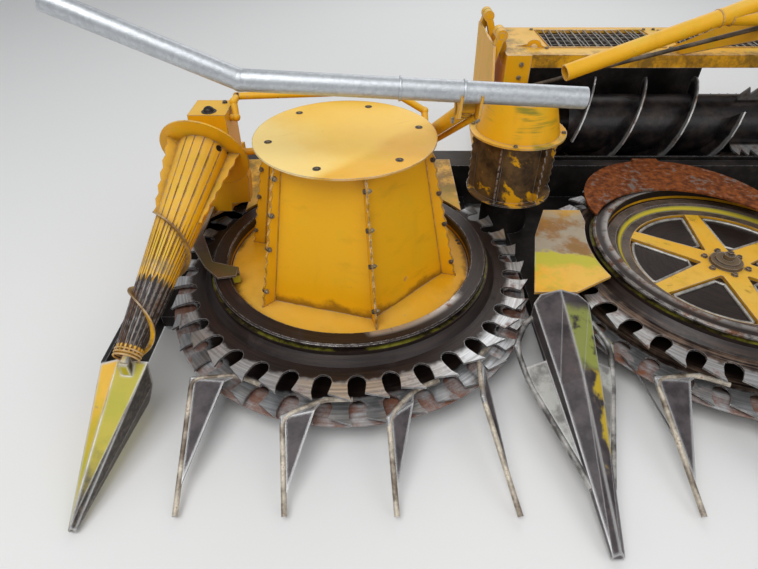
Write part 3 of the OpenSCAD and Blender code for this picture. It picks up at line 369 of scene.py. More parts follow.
def cap_stain(f, paint, patch, fine):
    """Dark rings on the rim, a lime line between them and brown juice on the spokes."""
    r = f.wheel()[0]
    low = f.axis("Z").ramp(0.232, 0.226)
    dark = f.mix(patch.ramp(0.35, 0.65), shown(58, 48, 44), shown(104, 92, 84))
    rings = (r + (patch - 0.5) * 0.006).band(0.360, 0.399).most(r.band(0.407, 0.470)) * low
    paint = f.mix(rings * (0.80 + fine * 0.4).least(1.0), paint, dark)
    paint = f.mix(r.band(0.396, 0.412) * (0.2 + patch).least(0.7) * low, paint, shown(186, 180, 44))
    hub = r.ramp(0.063, 0.061) * (0.5 + patch).least(0.9)
    paint = f.mix(hub, paint, shown(84, 76, 70))
    juice = (patch * 0.6 + f.noise(22.0, 4.0, 0.6, seed=41.0) * 0.6).ramp(0.66, 0.78) * r.ramp(0.40, 0.30)
    return f.mix(juice * 0.6, paint, shown(112, 74, 26))


FLUTES = 18.0
SIDE_HOLES = ((0.80, 234.0, 0.012), (0.812, 258.0, 0.005))  # metres up the drum, degrees, radius
SIDE_TOP_R = 0.098


def flute_stain(f, paint, patch, fine):
    """Side drum: flutes worn dark and silver low down, painted shade along the grooves above them and in
    hollows, and holes near the top painted near black as painted shade.
    """
    way = (SIDE_HIGH - SIDE_LOW).normalized()
    across = Vector((-way.y, way.x, 0.0)).normalized()
    out = across.cross(way)
    left = f.point(0 - abs(f.axis("X")), f.axis("Y"), f.axis("Z"))
    rest = f.vector("SUBTRACT", left, tuple(SIDE_LOW))
    t, u, v = (f.vector("DOT_PRODUCT", rest, tuple(d), out="Value") for d in (way, out, across))
    wave = v.maths("COSINE", v.maths("ARCTAN2", v, u) * FLUTES)
    worn = t.ramp(0.034, 0.040) * (t + wave * 0.014 + (patch - 0.5) * 0.05).ramp(0.262, 0.250)
    ridge = (wave + (fine - 0.5)).ramp(0.35, 0.85)
    steel = f.mix(ridge, shown(44, 38, 36), shown(196, 196, 192))
    paint = f.mix(worn, paint, steel)
    # Painted shade: thin dark brown lines along the bottoms of the grooves above the worn band
    reach = 0.40 + f.axis("X", f.facing) * 0.08 + (patch - 0.5) * 0.5
    groove = wave.ramp(-0.86, -0.97) * t.ramp(0.262, 0.280) * (reach + 0.08 - t).ramp(0.0, 0.10)
    paint = f.mix(groove * 0.85, paint, shown(52, 34, 14))
    # Painted shade with dirt: ambient occlusion darkens hollows towards brown
    brown = f.hollows(0.03) * (patch + fine * 0.4).ramp(0.45, 0.75)
    paint = f.mix(brown * 0.7, paint, shown(112, 72, 26))
    grey = (t + (patch - 0.5) * 0.12).band(0.26, 0.33, 0.02) * patch.ramp(0.40, 0.60)
    paint = f.mix(grey * 0.7, paint, shown(150, 138, 96))
    # Holes painted as near-black discs: painted shade inside the holes
    for up, degrees, r in SIDE_HOLES:
        a = math.radians(degrees)
        du, dv, dt = u - math.cos(a) * SIDE_TOP_R, v - math.sin(a) * SIDE_TOP_R, t - up
        off = (du * du + dv * dv + dt * dt) ** 0.5
        paint = f.mix(off.ramp(r + 0.001, r - 0.001), paint, shown(14, 12, 12))
    return paint


def helix_stain(f, paint, patch, fine):
    """Bar wound round a side drum: brown film over most of its paint."""
    return f.mix((patch + fine * 0.3).ramp(0.45, 0.72) * 0.8, paint, shown(92, 66, 40))


def hat_stain(f, paint, patch, fine):
    """Feed drum's hat: darker on top, with a green patch in level streaks on one side."""
    z = f.axis("Z")
    top = z.ramp(0.690, 0.695)
    paint = f.mix(top * 0.45, paint, shown(186, 142, 24))
    level = f.noise(1.0, 3.0, 0.6, at=f.point(f.axis("X") * 5.0, f.axis("Y") * 5.0, z * 90.0), seed=51.0)
    green = level.ramp(0.42, 0.60) * f.noise(5.0, 2.0, 0.5, seed=52.0).ramp(0.50, 0.60) * (1 - top)
    return f.mix(green * 0.8, paint, shown(110, 122, 40))


def deck_stain(f, paint, patch, fine):
    """Deck: brown dirt along its front and sides."""
    front = f.axis("Y").ramp(0.86, 0.72)
    side = abs(f.axis("X")).ramp(1.30, 1.50)
    dirt = (front.most(side) * 0.30 + patch * 0.75 + fine * 0.25).ramp(0.66, 0.92)
    return f.mix(dirt * 0.8, paint, shown(92, 62, 26))


def cover_stain(f, paint, patch, fine):
    """Sheets between the rotors: lime and grey wear, a brown film behind, dark arms at the rotors."""
    broad = f.noise(4.5, 4.0, 0.6, seed=61.0)
    back = (f.axis("Y") + 0.49) * 3.2 + (broad - 0.5) * 1.5 + (patch - 0.5) * 0.4
    paint = f.mix(back.band(0.34, 0.72, 0.12) * 0.85, paint, shown(190, 190, 48))
    worn = back.ramp(0.62, 0.74) * back.ramp(2.0, 1.4)
    grey = f.mix((broad + patch * 0.4).ramp(0.62, 0.72), shown(152, 150, 142), shown(128, 84, 52))
    paint = f.mix(worn * (0.4 + patch).least(0.85), paint, grey)
    film = f.axis("Y").ramp(0.10, 0.32) * (patch + fine * 0.3).ramp(0.50, 0.75)
    paint = f.mix(film * 0.7, paint, shown(96, 66, 34))
    r = f.wheel()[0]
    arm = r.ramp(0.64, 0.60) * f.axis("Z").ramp(0.262, 0.270)
    return f.mix(arm * (0.6 + patch).least(0.92), paint, shown(62, 48, 38))


def snout_stain(f, paint, patch, fine):
    """Outer divider: yellow that turns lime where the crop slides along it, silver at the edges."""
    broad = f.noise(5.0, 4.0, 0.6, seed=71.0)
    x = f.axis("X")
    inward = f.axis("X", f.facing) * (0 - x.maths("SIGN", x))
    slid = ((0 - f.axis("Y") - 0.90) * 4.0 + (broad - 0.5)).most((inward + 0.25) * 3.0).ramp(0.0, 0.6)
    paint = f.mix(slid * (0.5 + patch * 0.6).least(0.85), paint, shown(168, 170, 44))
    film = f.mix(fine.ramp(0.4, 0.7), shown(44, 38, 34), shown(92, 80, 66))
    low = (0 - f.axis("Y") - 0.98) * 1.6
    paint = f.mix((inward + low + (patch - 0.5) * 0.6).ramp(0.12, 0.42), paint, film)
    return f.mix((f.edges(0.014, 0.987, 0.95) * (0.7 + fine)).ramp(0.35, 0.75), paint, shown(208, 208, 206))


def feed_stain(f, paint, patch, fine):
    """Feed drum: old brown film with yellow left in slanting patches."""
    x, y, z = (f.axis(a) for a in "XYZ")
    slant = f.point((x + z * 0.7) * 11.0, (y + z * 0.7) * 11.0, z * 3.0)
    slope = f.noise(1.0, 4.0, 0.6, seed=81.0, at=slant)
    film = f.mix((patch + fine * 0.2).ramp(0.40, 0.75), shown(44, 33, 27), shown(118, 90, 54))
    left = (slope + fine * 0.12 + z.ramp(0.30, 0.50) * -0.12).ramp(0.58, 0.63)
    return f.mix(1 - left, paint, film)


def disc_steel(name, rail=0.3):
    """Rotor discs: bright worn teeth, a dark juice-stained band inside them and a rubbed rail."""
    colours = bpy.context.scene.header_colours
    f = Finish(name)
    r, turn = f.wheel()
    z = f.axis("Z")
    broad = f.noise(3.0, 4.0, 0.6)
    patch = f.noise(14.0, 5.0, 0.65, seed=2.0)
    fine = f.noise(90.0, 3.0, 0.6, seed=5.0)
    rings = f.noise(1.0, 4.0, 0.6, at=f.point(r * 140.0, turn * 2.5, z * 3.0))
    outer = (r + (patch - 0.5) * 0.060 + (broad - 0.5) * 0.03).ramp(0.606, 0.630)
    top = f.upward().ramp(0.1, 0.6)
    smear = patch.ramp(0.52, 0.66) * broad.ramp(0.42, 0.60)
    juice = f.mix(rings.ramp(0.3, 0.7), shown(24, 17, 15), shown(48, 34, 29))
    juice = f.mix((patch * 0.7 + fine * 0.4).ramp(0.66, 0.76) * 0.5, juice, shown(112, 80, 60))
    beige = (rings * 0.7 + patch * 0.5).ramp(0.52, 0.72) * r.ramp(0.54, 0.58) * rail
    juice = f.mix(beige, juice, shown(146, 122, 104))
    steel = f.mix(rings.ramp(0.25, 0.75), shown(158, 158, 158), shown(224, 226, 228))
    steel = f.mix(smear * 0.85, steel, shown(122, 72, 44))
    cutter = z.ramp(0.101, 0.098)
    steel = f.mix(cutter * patch.ramp(0.35, 0.60) * 0.8, steel, shown(146, 84, 48))
    edge = f.edges(0.004)
    bright = (outer * (0.35 + top * 0.65)).most(edge * r.ramp(0.58, 0.61))
    ring = r.band(0.464, 0.527) * z.ramp(0.266, 0.270)
    most_used = turn.band(-1.40, -0.62, 0.2) + rail * 0.8 + (patch - 0.5) * 0.9
    rubbed = ring * r.ramp(0.500, 0.474) * most_used.ramp(0.3, 0.7)
    rubbed = rubbed.most(ring * edge * (fine + patch * 0.4).ramp(0.55, 0.8))
    outside = r.band(0.514, 0.530) * z.band(0.262, 0.280)
    rubbed = rubbed.most(outside * (patch + rail * 0.3).ramp(0.60, 0.80) * rail)
    base = f.mix(bright, juice, steel)
    lip = f.mix((patch + rail * 0.06).ramp(0.52, 0.66), shown(198, 194, 190), shown(122, 82, 56))
    base = f.mix(rubbed, base, lip)
    groove = r.band(0.505, 0.531) * z.band(0.247, 0.2525, 0.001) * (patch + broad * 0.6).ramp(0.70, 0.95)
    base = f.mix(groove, base, shown(140, 136, 44))
    line = r.ramp(0.469, 0.467) * z.band(0.224, 0.236, 0.001)
    base = f.mix(line * (0.35 + patch).least(1.0), base, colours.yellow)
    f.set(
        Base_Color=base,
        Roughness=0.24 + fine * 0.18 + smear * 0.35 + (1 - outer) * 0.05,
        Metallic=(0.25 + bright.most(rubbed) * 0.6) * (1 - smear * 0.8) * (1 - cutter * 0.7),
    )
    f.relief(rings * 0.6 + patch * 0.6 + fine * 0.2, 0.0010)
    return f.material


def divider_marks(f, film, patch, broad):
    """Paint left on the right-hand face of the dividers, and pale bare plates beside them."""
    x = f.axis("X") + 10 * ROTOR_PITCH  # above zero, where the remainder is simple
    y = f.axis("Y") - ROTOR_Y
    beside = abs(((x / ROTOR_PITCH + 0.5) % 1.0 - 0.5) * ROTOR_PITCH)
    right = f.axis("X", f.facing).ramp(0.10, 0.30)
    high = (y + (patch - 0.5) * 0.10).band(-0.55, -0.33, 0.02) * (patch + broad * 0.4).ramp(0.55, 0.68)
    low = (y + (patch - 0.5) * 0.16).band(-0.86, -0.56, 0.02) * (patch + beside * 5.0).ramp(0.62, 0.78)
    film = f.mix(right * high * 0.85, film, shown(158, 166, 74))
    film = f.mix(right * low * 0.9, film, shown(206, 176, 30))
    plates = (beside - (0.1286 + y * 0.106).least(0.098)).ramp(0.003, 0.006) * y.ramp(-0.470, -0.482)
    return f.mix(plates, film, f.mix(patch.ramp(0.40, 0.60), shown(128, 126, 122), shown(186, 186, 180)))


def point_steel(name, marks=None):
    """Points and dividers: dark film on the faces, broad bright edges."""
    f = Finish(name)
    broad = f.noise(3.5, 3.0, 0.5)
    patch = f.noise(16.0, 4.0, 0.6, seed=4.0)
    fine = f.noise(80.0, 3.0, 0.6, seed=9.0)
    film = f.mix(patch.ramp(0.35, 0.65), shown(50, 44, 47), shown(84, 76, 78))
    film = f.mix((patch * 0.6 + fine * 0.5).ramp(0.64, 0.74) * 0.4, film, shown(120, 96, 76))
    if marks:
        film = marks(f, film, patch, broad)
    edge = (f.edges(0.014, 0.987, 0.95) * (0.7 + fine)).ramp(0.30, 0.70)
    f.set(
        Base_Color=f.mix(edge, film, shown(208, 208, 208)),
        Roughness=0.36 + patch * 0.25,
        Metallic=0.10 + edge * 0.6,
    )
    f.relief(fine * 0.3 + patch * 0.3, 0.0010)
    return f.material


def plain_steel(name, dark, light, roughness=0.4, metallic=0.6, rust=0.3, edge_width=0.004, grain=1.0):
    """Frame steel with a film of dirt, some rust and rubbed edges."""
    colours = bpy.context.scene.header_colours
    f = Finish(name)
    patch = f.noise(7.0 * grain, 5.0, 0.65)
    fine = f.noise(75.0 * grain, 3.0, 0.6, seed=6.0)
    base = f.mix(patch.ramp(0.35, 0.65), dark, light)
    rusty = (patch * 0.6 + fine * 0.5).ramp(0.60, 0.72) * rust
    base = f.mix(rusty, base, colours.rust)
    edge = f.edges(edge_width) * fine.ramp(0.3, 0.6)
    f.set(
        Base_Color=f.mix(edge * 0.8, base, colours.bright),
        Roughness=roughness + patch * 0.25 + rusty * 0.2,
        Metallic=(1 - rusty) * metallic,
    )
    f.relief(fine * 0.4 + patch * 0.6, 0.0012)
    return f.material


def auger_steel(name):
    """Auger: glossy black film, polished flight edges and bare paddles in the middle."""
    f = Finish(name)
    x, y, z = f.axis("X"), f.axis("Y") - AUGER_Y, f.axis("Z") - AUGER_Z
    r = (y * y + z * z) ** 0.5
    patch = f.noise(12.0, 5.0, 0.65)
    fine = f.noise(75.0, 3.0, 0.6, seed=6.0)
    bare = ((r + (patch - 0.5) * 0.03).ramp(0.205, 0.222)).most(
        abs(x).ramp(0.33, 0.30) * r.ramp(0.155, 0.170) * patch.ramp(0.30, 0.55))
    film = f.mix(patch.ramp(0.4, 0.7), shown(26, 24, 25), shown(66, 56, 52))
    steel = f.mix(patch.ramp(0.5, 0.7), shown(196, 196, 196), shown(130, 96, 74))
    f.set(
        Base_Color=f.mix(bare, film, steel),
        Roughness=0.18 + patch * 0.25 + bare * 0.1,
        Metallic=0.35 + bare * 0.5,
    )
    f.relief(fine * 0.3 + patch * 0.7, 0.0010)
    return f.material


def galvanised_steel(name):
    """Zinc-coated tube with faint spangle and water stains."""
    f = Finish(name, metallic=0.75)
    tone = f.axis("X", f.cells(110.0))
    stain = f.noise(6.0, 4.0, 0.6, at=f.vector("MULTIPLY", f.place, (0.3, 1.0, 1.0)))
    base = f.mix(tone, shown(184, 188, 192), shown(200, 204, 208))
    base = f.mix(stain.ramp(0.55, 0.75) * 0.5, base, shown(128, 130, 132))
    f.set(Base_Color=base, Roughness=0.32 + stain * 0.25)
    f.relief(stain + tone * 0.2, 0.0006)
    return f.material


def rusty_sheet(name):
    """Cover plates behind the rotors: red-brown rust with rubbed grey patches."""
    colours = bpy.context.scene.header_colours
    f = Finish(name, gloss=0.25)
    broad = f.noise(6.0, 5.0, 0.65)
    patch = f.noise(34.0, 4.0, 0.65, seed=8.0)
    fine = f.noise(120.0, 3.0, 0.6, seed=2.0)
    rust = f.mix(patch.ramp(0.35, 0.65), shown(84, 40, 16), shown(152, 82, 32))
    bare = (broad * 0.5 + patch * 0.7).ramp(0.64, 0.70)
    base = f.mix(bare, rust, shown(128, 118, 112))
    base = f.mix(fine.ramp(0.55, 0.75) * 0.5, base, colours.dirt)
    f.set(Base_Color=base, Roughness=0.62 + patch * 0.3 - bare * 0.2, Metallic=bare * 0.6)
    f.relief(patch + fine * 0.4, 0.0015)
    return f.material


# Darkest and lightest colour, roughness, metallic, rust, width of the rubbed edges, grain
HARDWARE = {
    "bolt_steel": ((44, 36, 30), (92, 76, 56), 0.40, 0.50, 0.5, 0.0010, 5.0),
    "stud_steel": ((96, 84, 66), (150, 136, 108), 0.35, 0.60, 0.5, 0.0010, 5.0),
    "ridge_steel": ((150, 146, 140), (206, 204, 198), 0.30, 0.70, 0.8, 0.0020, 3.0),
    "hub_bolt_steel": ((84, 70, 58), (130, 112, 92), 0.40, 0.60, 0.6, 0.0015, 5.0),
    "rubbed_bar": ((112, 98, 84), (224, 214, 196), 0.42, 0.40, 0.8, 0.0030, 2.2),
    "pale_bar": ((84, 80, 78), (200, 198, 194), 0.38, 0.55, 0.4, 0.0030, 2.2),
    "black_bolt": ((30, 28, 27), (66, 60, 56), 0.30, 0.60, 0.3, 0.0020, 5.0),
    "flange_bolt": ((88, 78, 62), (140, 126, 96), 0.40, 0.60, 0.5, 0.0015, 5.0),
    "clamp_bolt": ((150, 146, 138), (196, 192, 184), 0.35, 0.70, 0.4, 0.0015, 5.0),
    "wire_steel": ((120, 112, 98), (176, 168, 150), 0.40, 0.60, 0.5, 0.0010, 5.0),
    "deck_bolt": ((96, 84, 62), (150, 138, 108), 0.40, 0.60, 0.5, 0.0015, 5.0),
}


def hardware(name):
    """Finish of bolts, bars and wires."""
    dark, light, *rest = HARDWARE[name]
    return plain_steel(name, shown(*dark), shown(*light), *rest)


# ---- pieces in the making ----


def placed(name, data):
    """A new object in the scene."""
    made = bpy.data.objects.new(name, data)
    bpy.context.scene.collection.objects.link(made)
    return made


def eased(path, bend):
    """Path whose inner corners are rounded over bend metres."""
    points = [Vector(p) for p in path]
    out = [points[0]]
    for before, corner, after in zip(points, points[1:], points[2:]):
        reach = min(bend, (corner - before).length * 0.45, (after - corner).length * 0.45)
        start = corner + (before - corner).normalized() * reach
        end = corner + (after - corner).normalized() * reach
        for t in (i / 6 for i in range(7)):
            out.append(start * (1 - t) ** 2 + corner * 2 * t * (1 - t) + end * t ** 2)
    return out + [points[-1]]


class Shell:
    """A piece in the making, built where it sits on the header's left half."""

    def __init__(self):
        self.form = bmesh.new()

    def skin(self, rings, joined=False):
        """Walls between rings of points; the first and last ring are filled, or joined to each other."""
        rows = [[self.form.verts.new(p) for p in ring] for ring in rings]
        pairs = list(zip(rows, rows[1:])) + ([(rows[-1], rows[0])] if joined else [])
        for low, high in pairs:
            for i in range(len(low)):
                j = (i + 1) % len(low)
                self.form.faces.new((low[i], low[j], high[j], high[i]))
        if not joined:
            self.form.faces.new(rows[0][::-1])
            self.form.faces.new(rows[-1])

    def turned(self, place, profile, sides=24):
        """Form turned round the place's Z from steps of (radius, height)."""
        turns = [math.tau * i / sides for i in range(sides)]
        self.skin([
            [place @ Vector((r * math.cos(a), r * math.sin(a), h)) for a in turns] for r, h in profile])

    def rod(self, path, radius, sides=12, joined=False, lumps=None):
        """Round bar along a path; lumps is a source of chance that makes it uneven like a weld."""
        points = [Vector(p) for p in path]
        count = len(points)
        rings = []
        side = None
        for i, p in enumerate(points):
            before = points[i - 1] if i or joined else p
            after = points[(i + 1) % count] if i < count - 1 or joined else p
            way = (after - before).normalized()
            if side is None:
                side = way.orthogonal().normalized()
            side = (side - way * side.dot(way)).normalized()
            up = way.cross(side)
            r = radius * (lumps.uniform(0.82, 1.18) if lumps else 1.0)
            rings.append([
                p + side * (r * math.cos(a)) + up * (r * math.sin(a))
                for a in (math.tau * k / sides for k in range(sides))])
        self.skin(rings, joined)

    def ring(self, place, around, radius, steps=40, lumps=None):
        """Round bar bent to a ring, or a weld round a tube."""
        path = [
            place @ Vector((around * math.cos(a), around * math.sin(a), 0))
            for a in (math.tau * i / steps for i in range(steps))]
        self.rod(path, radius, 8, True, lumps)

    def bolt(self, place, width, kind="hex"):
        """Bolt head or nut on its washer, standing on the place's XY plane."""
        r = width / 2
        washer = 0.0019
        self.turned(place, ((r * 1.3, 0), (r * 1.34, 0.0004), (r * 1.34, 0.0014), (r * 1.25, washer)), 20)
        if kind == "round":
            dome = [(r * math.cos(a), washer + r * 0.85 * math.sin(a)) for a in (0, 0.35, 0.7, 1.05, 1.35)]
            self.turned(place, dome, 20)
            return
        height = washer + width * (0.42 if kind == "hex" else 0.55)
        six = [math.tau * i / 6 for i in range(6)]
        across = r / math.cos(math.pi / 6)
        self.skin([
            [place @ Vector((across * s * math.cos(a), across * s * math.sin(a), h)) for a in six]
            for s, h in ((0.93, washer), (1.0, 0.0026), (1.0, height - 0.0012), (0.88, height))])
        if kind == "nut":
            end = ((r * 0.55, height), (r * 0.55, height + r * 0.5), (r * 0.45, height + r * 0.6))
            self.turned(place, end, 14)

    def both_halves(self):
        """Adds the other half of the header by symmetry."""
        form = self.form
        made = bmesh.ops.duplicate(form, geom=[*form.verts, *form.edges, *form.faces])["geom"]
        bmesh.ops.scale(form, vec=(-1, 1, 1), verts=[v for v in made if isinstance(v, bmesh.types.BMVert)])

    def lay(self, name, body, slot, material, flip=False):
        """Makes the piece an object that rides on a body; flip puts it on the right half."""
        form = self.form.copy()
        if flip:
            bmesh.ops.scale(form, vec=(-1, 1, 1), verts=form.verts)
        bmesh.ops.recalc_face_normals(form, faces=form.faces)
        for edge in form.edges:
            edge.smooth = edge.calc_face_angle(0.0) < math.radians(38)
        for face in form.faces:
            face.smooth = True
        mesh = bpy.data.meshes.new(name)
        form.to_mesh(mesh)
        form.free()
        mesh.materials.append(material)
        piece = placed(name, mesh)
        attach(piece, body)

    def lay_pair(self, stem, body, slot, material):
        for side in SIDES:
            self.lay(f"{stem}_{side}", f"{body}_{side}", slot, material, side == "right")


# ---- operators ----


class Dress:
    """What all operators of this file share."""

    bl_options = {"REGISTER", "UNDO"}

    def execute(self, context):
        self.make(context)
        return {"FINISHED"}


class HEADER_OT_paint(Dress, bpy.types.Operator):
    """Paints the yellow sheets, frames and bars"""

    bl_idname = "header.paint"
    bl_label = "Yellow Paint"

    def make(self, context):
        finish_nodes(coat("bar_paint", bleach=0.7), "centre_push_bar", "bar_supports", *both("wing_bar_arms"))
        finish_nodes(coat("frame_paint", grime_and_shade=0.8), "adapter_frame", *both("wing_hinge", "end_plate"))
        finish_nodes(coat("guard_paint", chips=0.7), *both("side_bearing", "wing_guard"))
        finish_nodes(coat("helix_paint", chips=0.5, stain=helix_stain), *both("side_helix"))
        finish_nodes(coat("deck_paint", grime_and_shade=0.8, stain=deck_stain), "top_deck")
        finish_nodes(coat("cover_paint", lime=0.6, grime_and_shade=0.9, stain=cover_stain), "cover_plates")
        finish_nodes(coat("wing_cover_paint", lime=0.5, grime_and_shade=0.9, stain=cover_stain), *both("wing_cover"))
        finish_nodes(coat("drum_paint", lime=0.12, stain=drum_stain), *both("drum"))
        finish_nodes(coat("fin_paint", lime=0.15, chips=0.15, stain=fin_stain), *both("drum_strips"))
        finish_nodes(coat("cap_paint", lime=0.2, grime_and_shade=0.8, chips=0.7, stain=cap_stain), *both("spoked_cap"))
        finish_nodes(coat("hat_paint", lime=0.2, stain=hat_stain), *both("feed_hat"))
        finish_nodes(coat("feed_paint", grime_and_shade=0.8, chips=0.8, stain=feed_stain), *both("feed_drum"))
        finish_nodes(coat("side_paint", lime=0.3, chips=0.0, stain=flute_stain), *both("side_drum"))
        finish_nodes(coat("snout_paint", lime=0.6, stain=snout_stain), *both("wing_snout"))


class HEADER_OT_steel(Dress, bpy.types.Operator):
    """Gives discs, points, beams, auger and tubes their bare steel"""

    bl_idname = "header.steel"
    bl_label = "Bare Steel"

    def make(self, context):
        finish_nodes(disc_steel("outer_disc_steel", rail=0.0), *both("outer_discs"))
        finish_nodes(disc_steel("inner_disc_steel", rail=0.7), *both("inner_discs"))
        finish_nodes(point_steel("divider_steel", divider_marks), "divider_snouts")
        finish_nodes(point_steel("point_steel"), "centre_points", *both("wing_points"))
        finish_nodes(
            plain_steel("frame_steel", (0.020, 0.018, 0.017), (0.055, 0.048, 0.044)),
            "gear_beam", "auger_trough", "rear_wall", "drive_housing", *both("wing_frame"))
        finish_nodes(
            plain_steel("grille_steel", shown(70, 64, 58), shown(120, 110, 96), grain=3.0),
            "deck_grilles", "bar_stays")
        finish_nodes(auger_steel("auger_steel"), "auger_tube", "auger_flights")
        finish_nodes(rusty_sheet("rusty_steel"), "crescent_plates")
        finish_nodes(galvanised_steel("galvanised"), *both("wing_push_bar"))


class HEADER_OT_drum_fittings(Dress, bpy.types.Operator):
    """Bolts on the tall drums' lids, strips and floors"""

    bl_idname = "header.drum_fittings"
    bl_label = "Drum Bolts"

    def make(self, context):
        width = context.scene.header_fittings.bolt * 0.9
        dark, light = hardware("bolt_steel"), hardware("stud_steel")
        dish = (
            (0.0125, 0), (0.0130, 0.0006), (0.0128, 0.0014),
            (0.0105, 0.0016), (0.0080, 0.0009), (0.0040, 0.0008))
        screw = ((0.0052, 0.0006), (0.0052, 0.0022), (0.0040, 0.0030))
        panel_foot_r, panel_foot_z, panel_height, panel_lean = 0.366, 0.226, 0.509, 0.1
        strip_foot, strip_loss, from_edge, half_strip = 0.055, 0.021, 0.0095, 0.0035
        bolts, studs = Shell(), Shell()
        for k in range(6):
            lid = seat(on_circle(OUTER_X, 0.256, -46.7 + 60 * k, 0.7400))
            bolts.turned(lid, dish)
            studs.turned(lid, screw, 16)
            turn = STRIP_TURN + 60 * k
            a = math.radians(turn)
            across = Vector((-math.sin(a), math.cos(a), 0))
            for z in (0.690, 0.569, 0.450, 0.290):
                share = (z - DRUM_FLOOR_Z) / (DRUM_LID_Z - DRUM_FLOOR_Z)
                panel_r = panel_foot_r - panel_lean * (z - panel_foot_z) / panel_height
                at = on_circle(OUTER_X, panel_r + strip_foot - strip_loss * share - from_edge, turn, z)
                bolts.bolt(seat(at - across * half_strip, -across, 13 * k), width)
                studs.bolt(seat(at + across * half_strip, across, 7 * k), width, "nut")
        for k in range(3):
            for degrees in (12.2, 15.1):
                bolts.bolt(seat(on_circle(OUTER_X, 0.450, degrees + 120 * k, 0.227)), 0.011, "round")
        bolts.lay_pair("drum_bolts", "outer_rotor", "dark_steel", dark)
        studs.lay_pair("drum_studs", "outer_rotor", "galvanised", light)


class HEADER_OT_cap_fittings(Dress, bpy.types.Operator):
    """Embossed ridges round the windows of the low caps, and their hub bolts"""

    bl_idname = "header.cap_fittings"
    bl_label = "Cap Ridges and Bolts"

    def make(self, context):
        ridge = context.scene.header_fittings.ridge
        outer_r, floor_z = 0.345, 0.186
        hub_r, spoke_reach, hub_half, rim_half, clear = 0.06, 0.298, 0.046, 0.030, 0.011
        edges, bolts = Shell(), Shell()
        for k in range(6):
            sides = []
            for turn, hand in ((SPOKE_TURN + 60 * k, 1), (SPOKE_TURN + 60 * k + 60, -1)):
                a = math.radians(turn)
                out = Vector((math.cos(a), math.sin(a), 0))
                across = Vector((-out.y, out.x, 0)) * hand
                sides.append([
                    out * r + across * (hub_half + (rim_half - hub_half) * (r - hub_r) / spoke_reach + clear)
                    for r in (0.128, 0.20, 0.27, 0.335)])
            start, end = (math.atan2(side[-1].y, side[-1].x) for side in sides)
            if end < start:
                end += math.tau
            arc = [
                Vector((math.cos(a), math.sin(a), 0)) * outer_r
                for a in (start + 0.03 + (end - start - 0.06) * i / 10 for i in range(11))]
            path = sides[0] + arc + sides[1][::-1]
            centre = along(INNER_X, 0, floor_z + ridge * 0.25)
            edges.rod([centre + p for p in path], ridge, 10, True)
            bolts.bolt(seat(on_circle(INNER_X, 0.079, SPOKE_TURN + 60 * k, 0.200), UP, 11 * k), 0.019)
        bolts.bolt(seat(along(INNER_X, 0, 0.243)), 0.022)
        bright, dark = hardware("ridge_steel"), hardware("hub_bolt_steel")
        edges.lay_pair("window_ridges", "inner_rotor", "disc_steel", bright)
        bolts.lay_pair("hub_bolts", "inner_rotor", "dark_steel", dark)


# Each bar of a rotor's points: x of its corner, the corner's distance from the axis, x of its tip
POINTS = ((-0.492, 0.745, -0.466), (-0.180, 0.731, -0.156), (0.142, 0.725, 0.164), (0.438, 0.768, 0.514))
POINT_Z = 0.156
# A loop beside a divider: x from the divider's middle, y from the rotors' line, z
LOOP = (
    (0.060, -0.292, 0.206), (0.119, -0.326, 0.180), (0.164, -0.412, 0.152), (0.140, -0.533, 0.112),
    (0.030, -0.892, 0.072))


def point_bars(shell, centre_x):
    """Rubbed skin over the bars of the points in front of a rotor."""
    for corner_x, radius, tip_x in POINTS:
        corner_y = -math.sqrt(radius ** 2 - corner_x ** 2)
        degrees = math.degrees(math.atan2(corner_y, corner_x))
        path = [
            along(centre_x + tip_x, -0.948, 0.020),
            along(centre_x + corner_x, corner_y, POINT_Z),
            on_circle(centre_x, 0.645, degrees + 9, POINT_Z),
            on_circle(centre_x, 0.642, degrees + 17, POINT_Z)]
        shell.rod(eased(path, 0.03), 0.0085)


class HEADER_OT_point_bars(Dress, bpy.types.Operator):
    """Rubbed round bars of the points and the loops beside the dividers"""

    bl_idname = "header.point_bars"
    bl_label = "Point Bars and Loops"

    def make(self, context):
        rubbed, pale = hardware("rubbed_bar"), hardware("pale_bar")
        wing = Shell()
        point_bars(wing, OUTER_X)
        wing.lay_pair("wing_point_bars", "wing", "point_steel", rubbed)
        middle = Shell()
        point_bars(middle, INNER_X)
        middle.both_halves()
        middle.lay("centre_point_bars", "middle", "point_steel", rubbed)
        loops = Shell()
        for x in (-ROTOR_PITCH, 0.0, ROTOR_PITCH):
            for hand in (-1, 1):
                path = [along(x + hand * px, py, pz) for px, py, pz in LOOP]
                loops.rod(eased(path, 0.05), 0.0098, 14)
        loops.lay("divider_loops", "middle", "point_steel", pale)


class HEADER_OT_side_fittings(Dress, bpy.types.Operator):
    """Bolts of the side drums' bearing boxes, and ribs on the drums' lower ends"""

    bl_idname = "header.side_fittings"
    bl_label = "Side Drum Fittings"

    def make(self, context):
        black = hardware("black_bolt")
        bolts = Shell()
        bolts.bolt(seat(along(-2.768, 0.236, 0.726)), 0.042, "round")
        bolts.bolt(seat(along(-2.728, 0.322, 0.726)), 0.015)
        bolts.lay_pair("bearing_bolts", "wing", "dark_steel", black)
        way = (SIDE_HIGH - SIDE_LOW).normalized()
        collar = Shell()
        foot_r, taper = 0.0385, 0.0754
        for t in (0.004, 0.014, 0.024):
            collar.ring(seat(SIDE_LOW + way * t, way), foot_r + taper * t, 0.0030)
        collar.lay_pair("collar_ribs", "side", "yellow_paint", coat("collar_paint", chips=0.9))


class HEADER_OT_feed_fittings(Dress, bpy.types.Operator):
    """Bolts on the flanges of the feed drums' hats"""

    bl_idname = "header.feed_fittings"
    bl_label = "Feed Drum Bolts"

    def make(self, context):
        dark = hardware("flange_bolt")
        bolts = Shell()
        for degrees in (-15, -104, 165, 75):
            bolts.bolt(seat(on_circle(FEED_X, 0.192, degrees, 0.548, FEED_Y), UP, degrees), 0.015)
        bolts.lay_pair("hat_bolts", "feed", "dark_steel", dark)


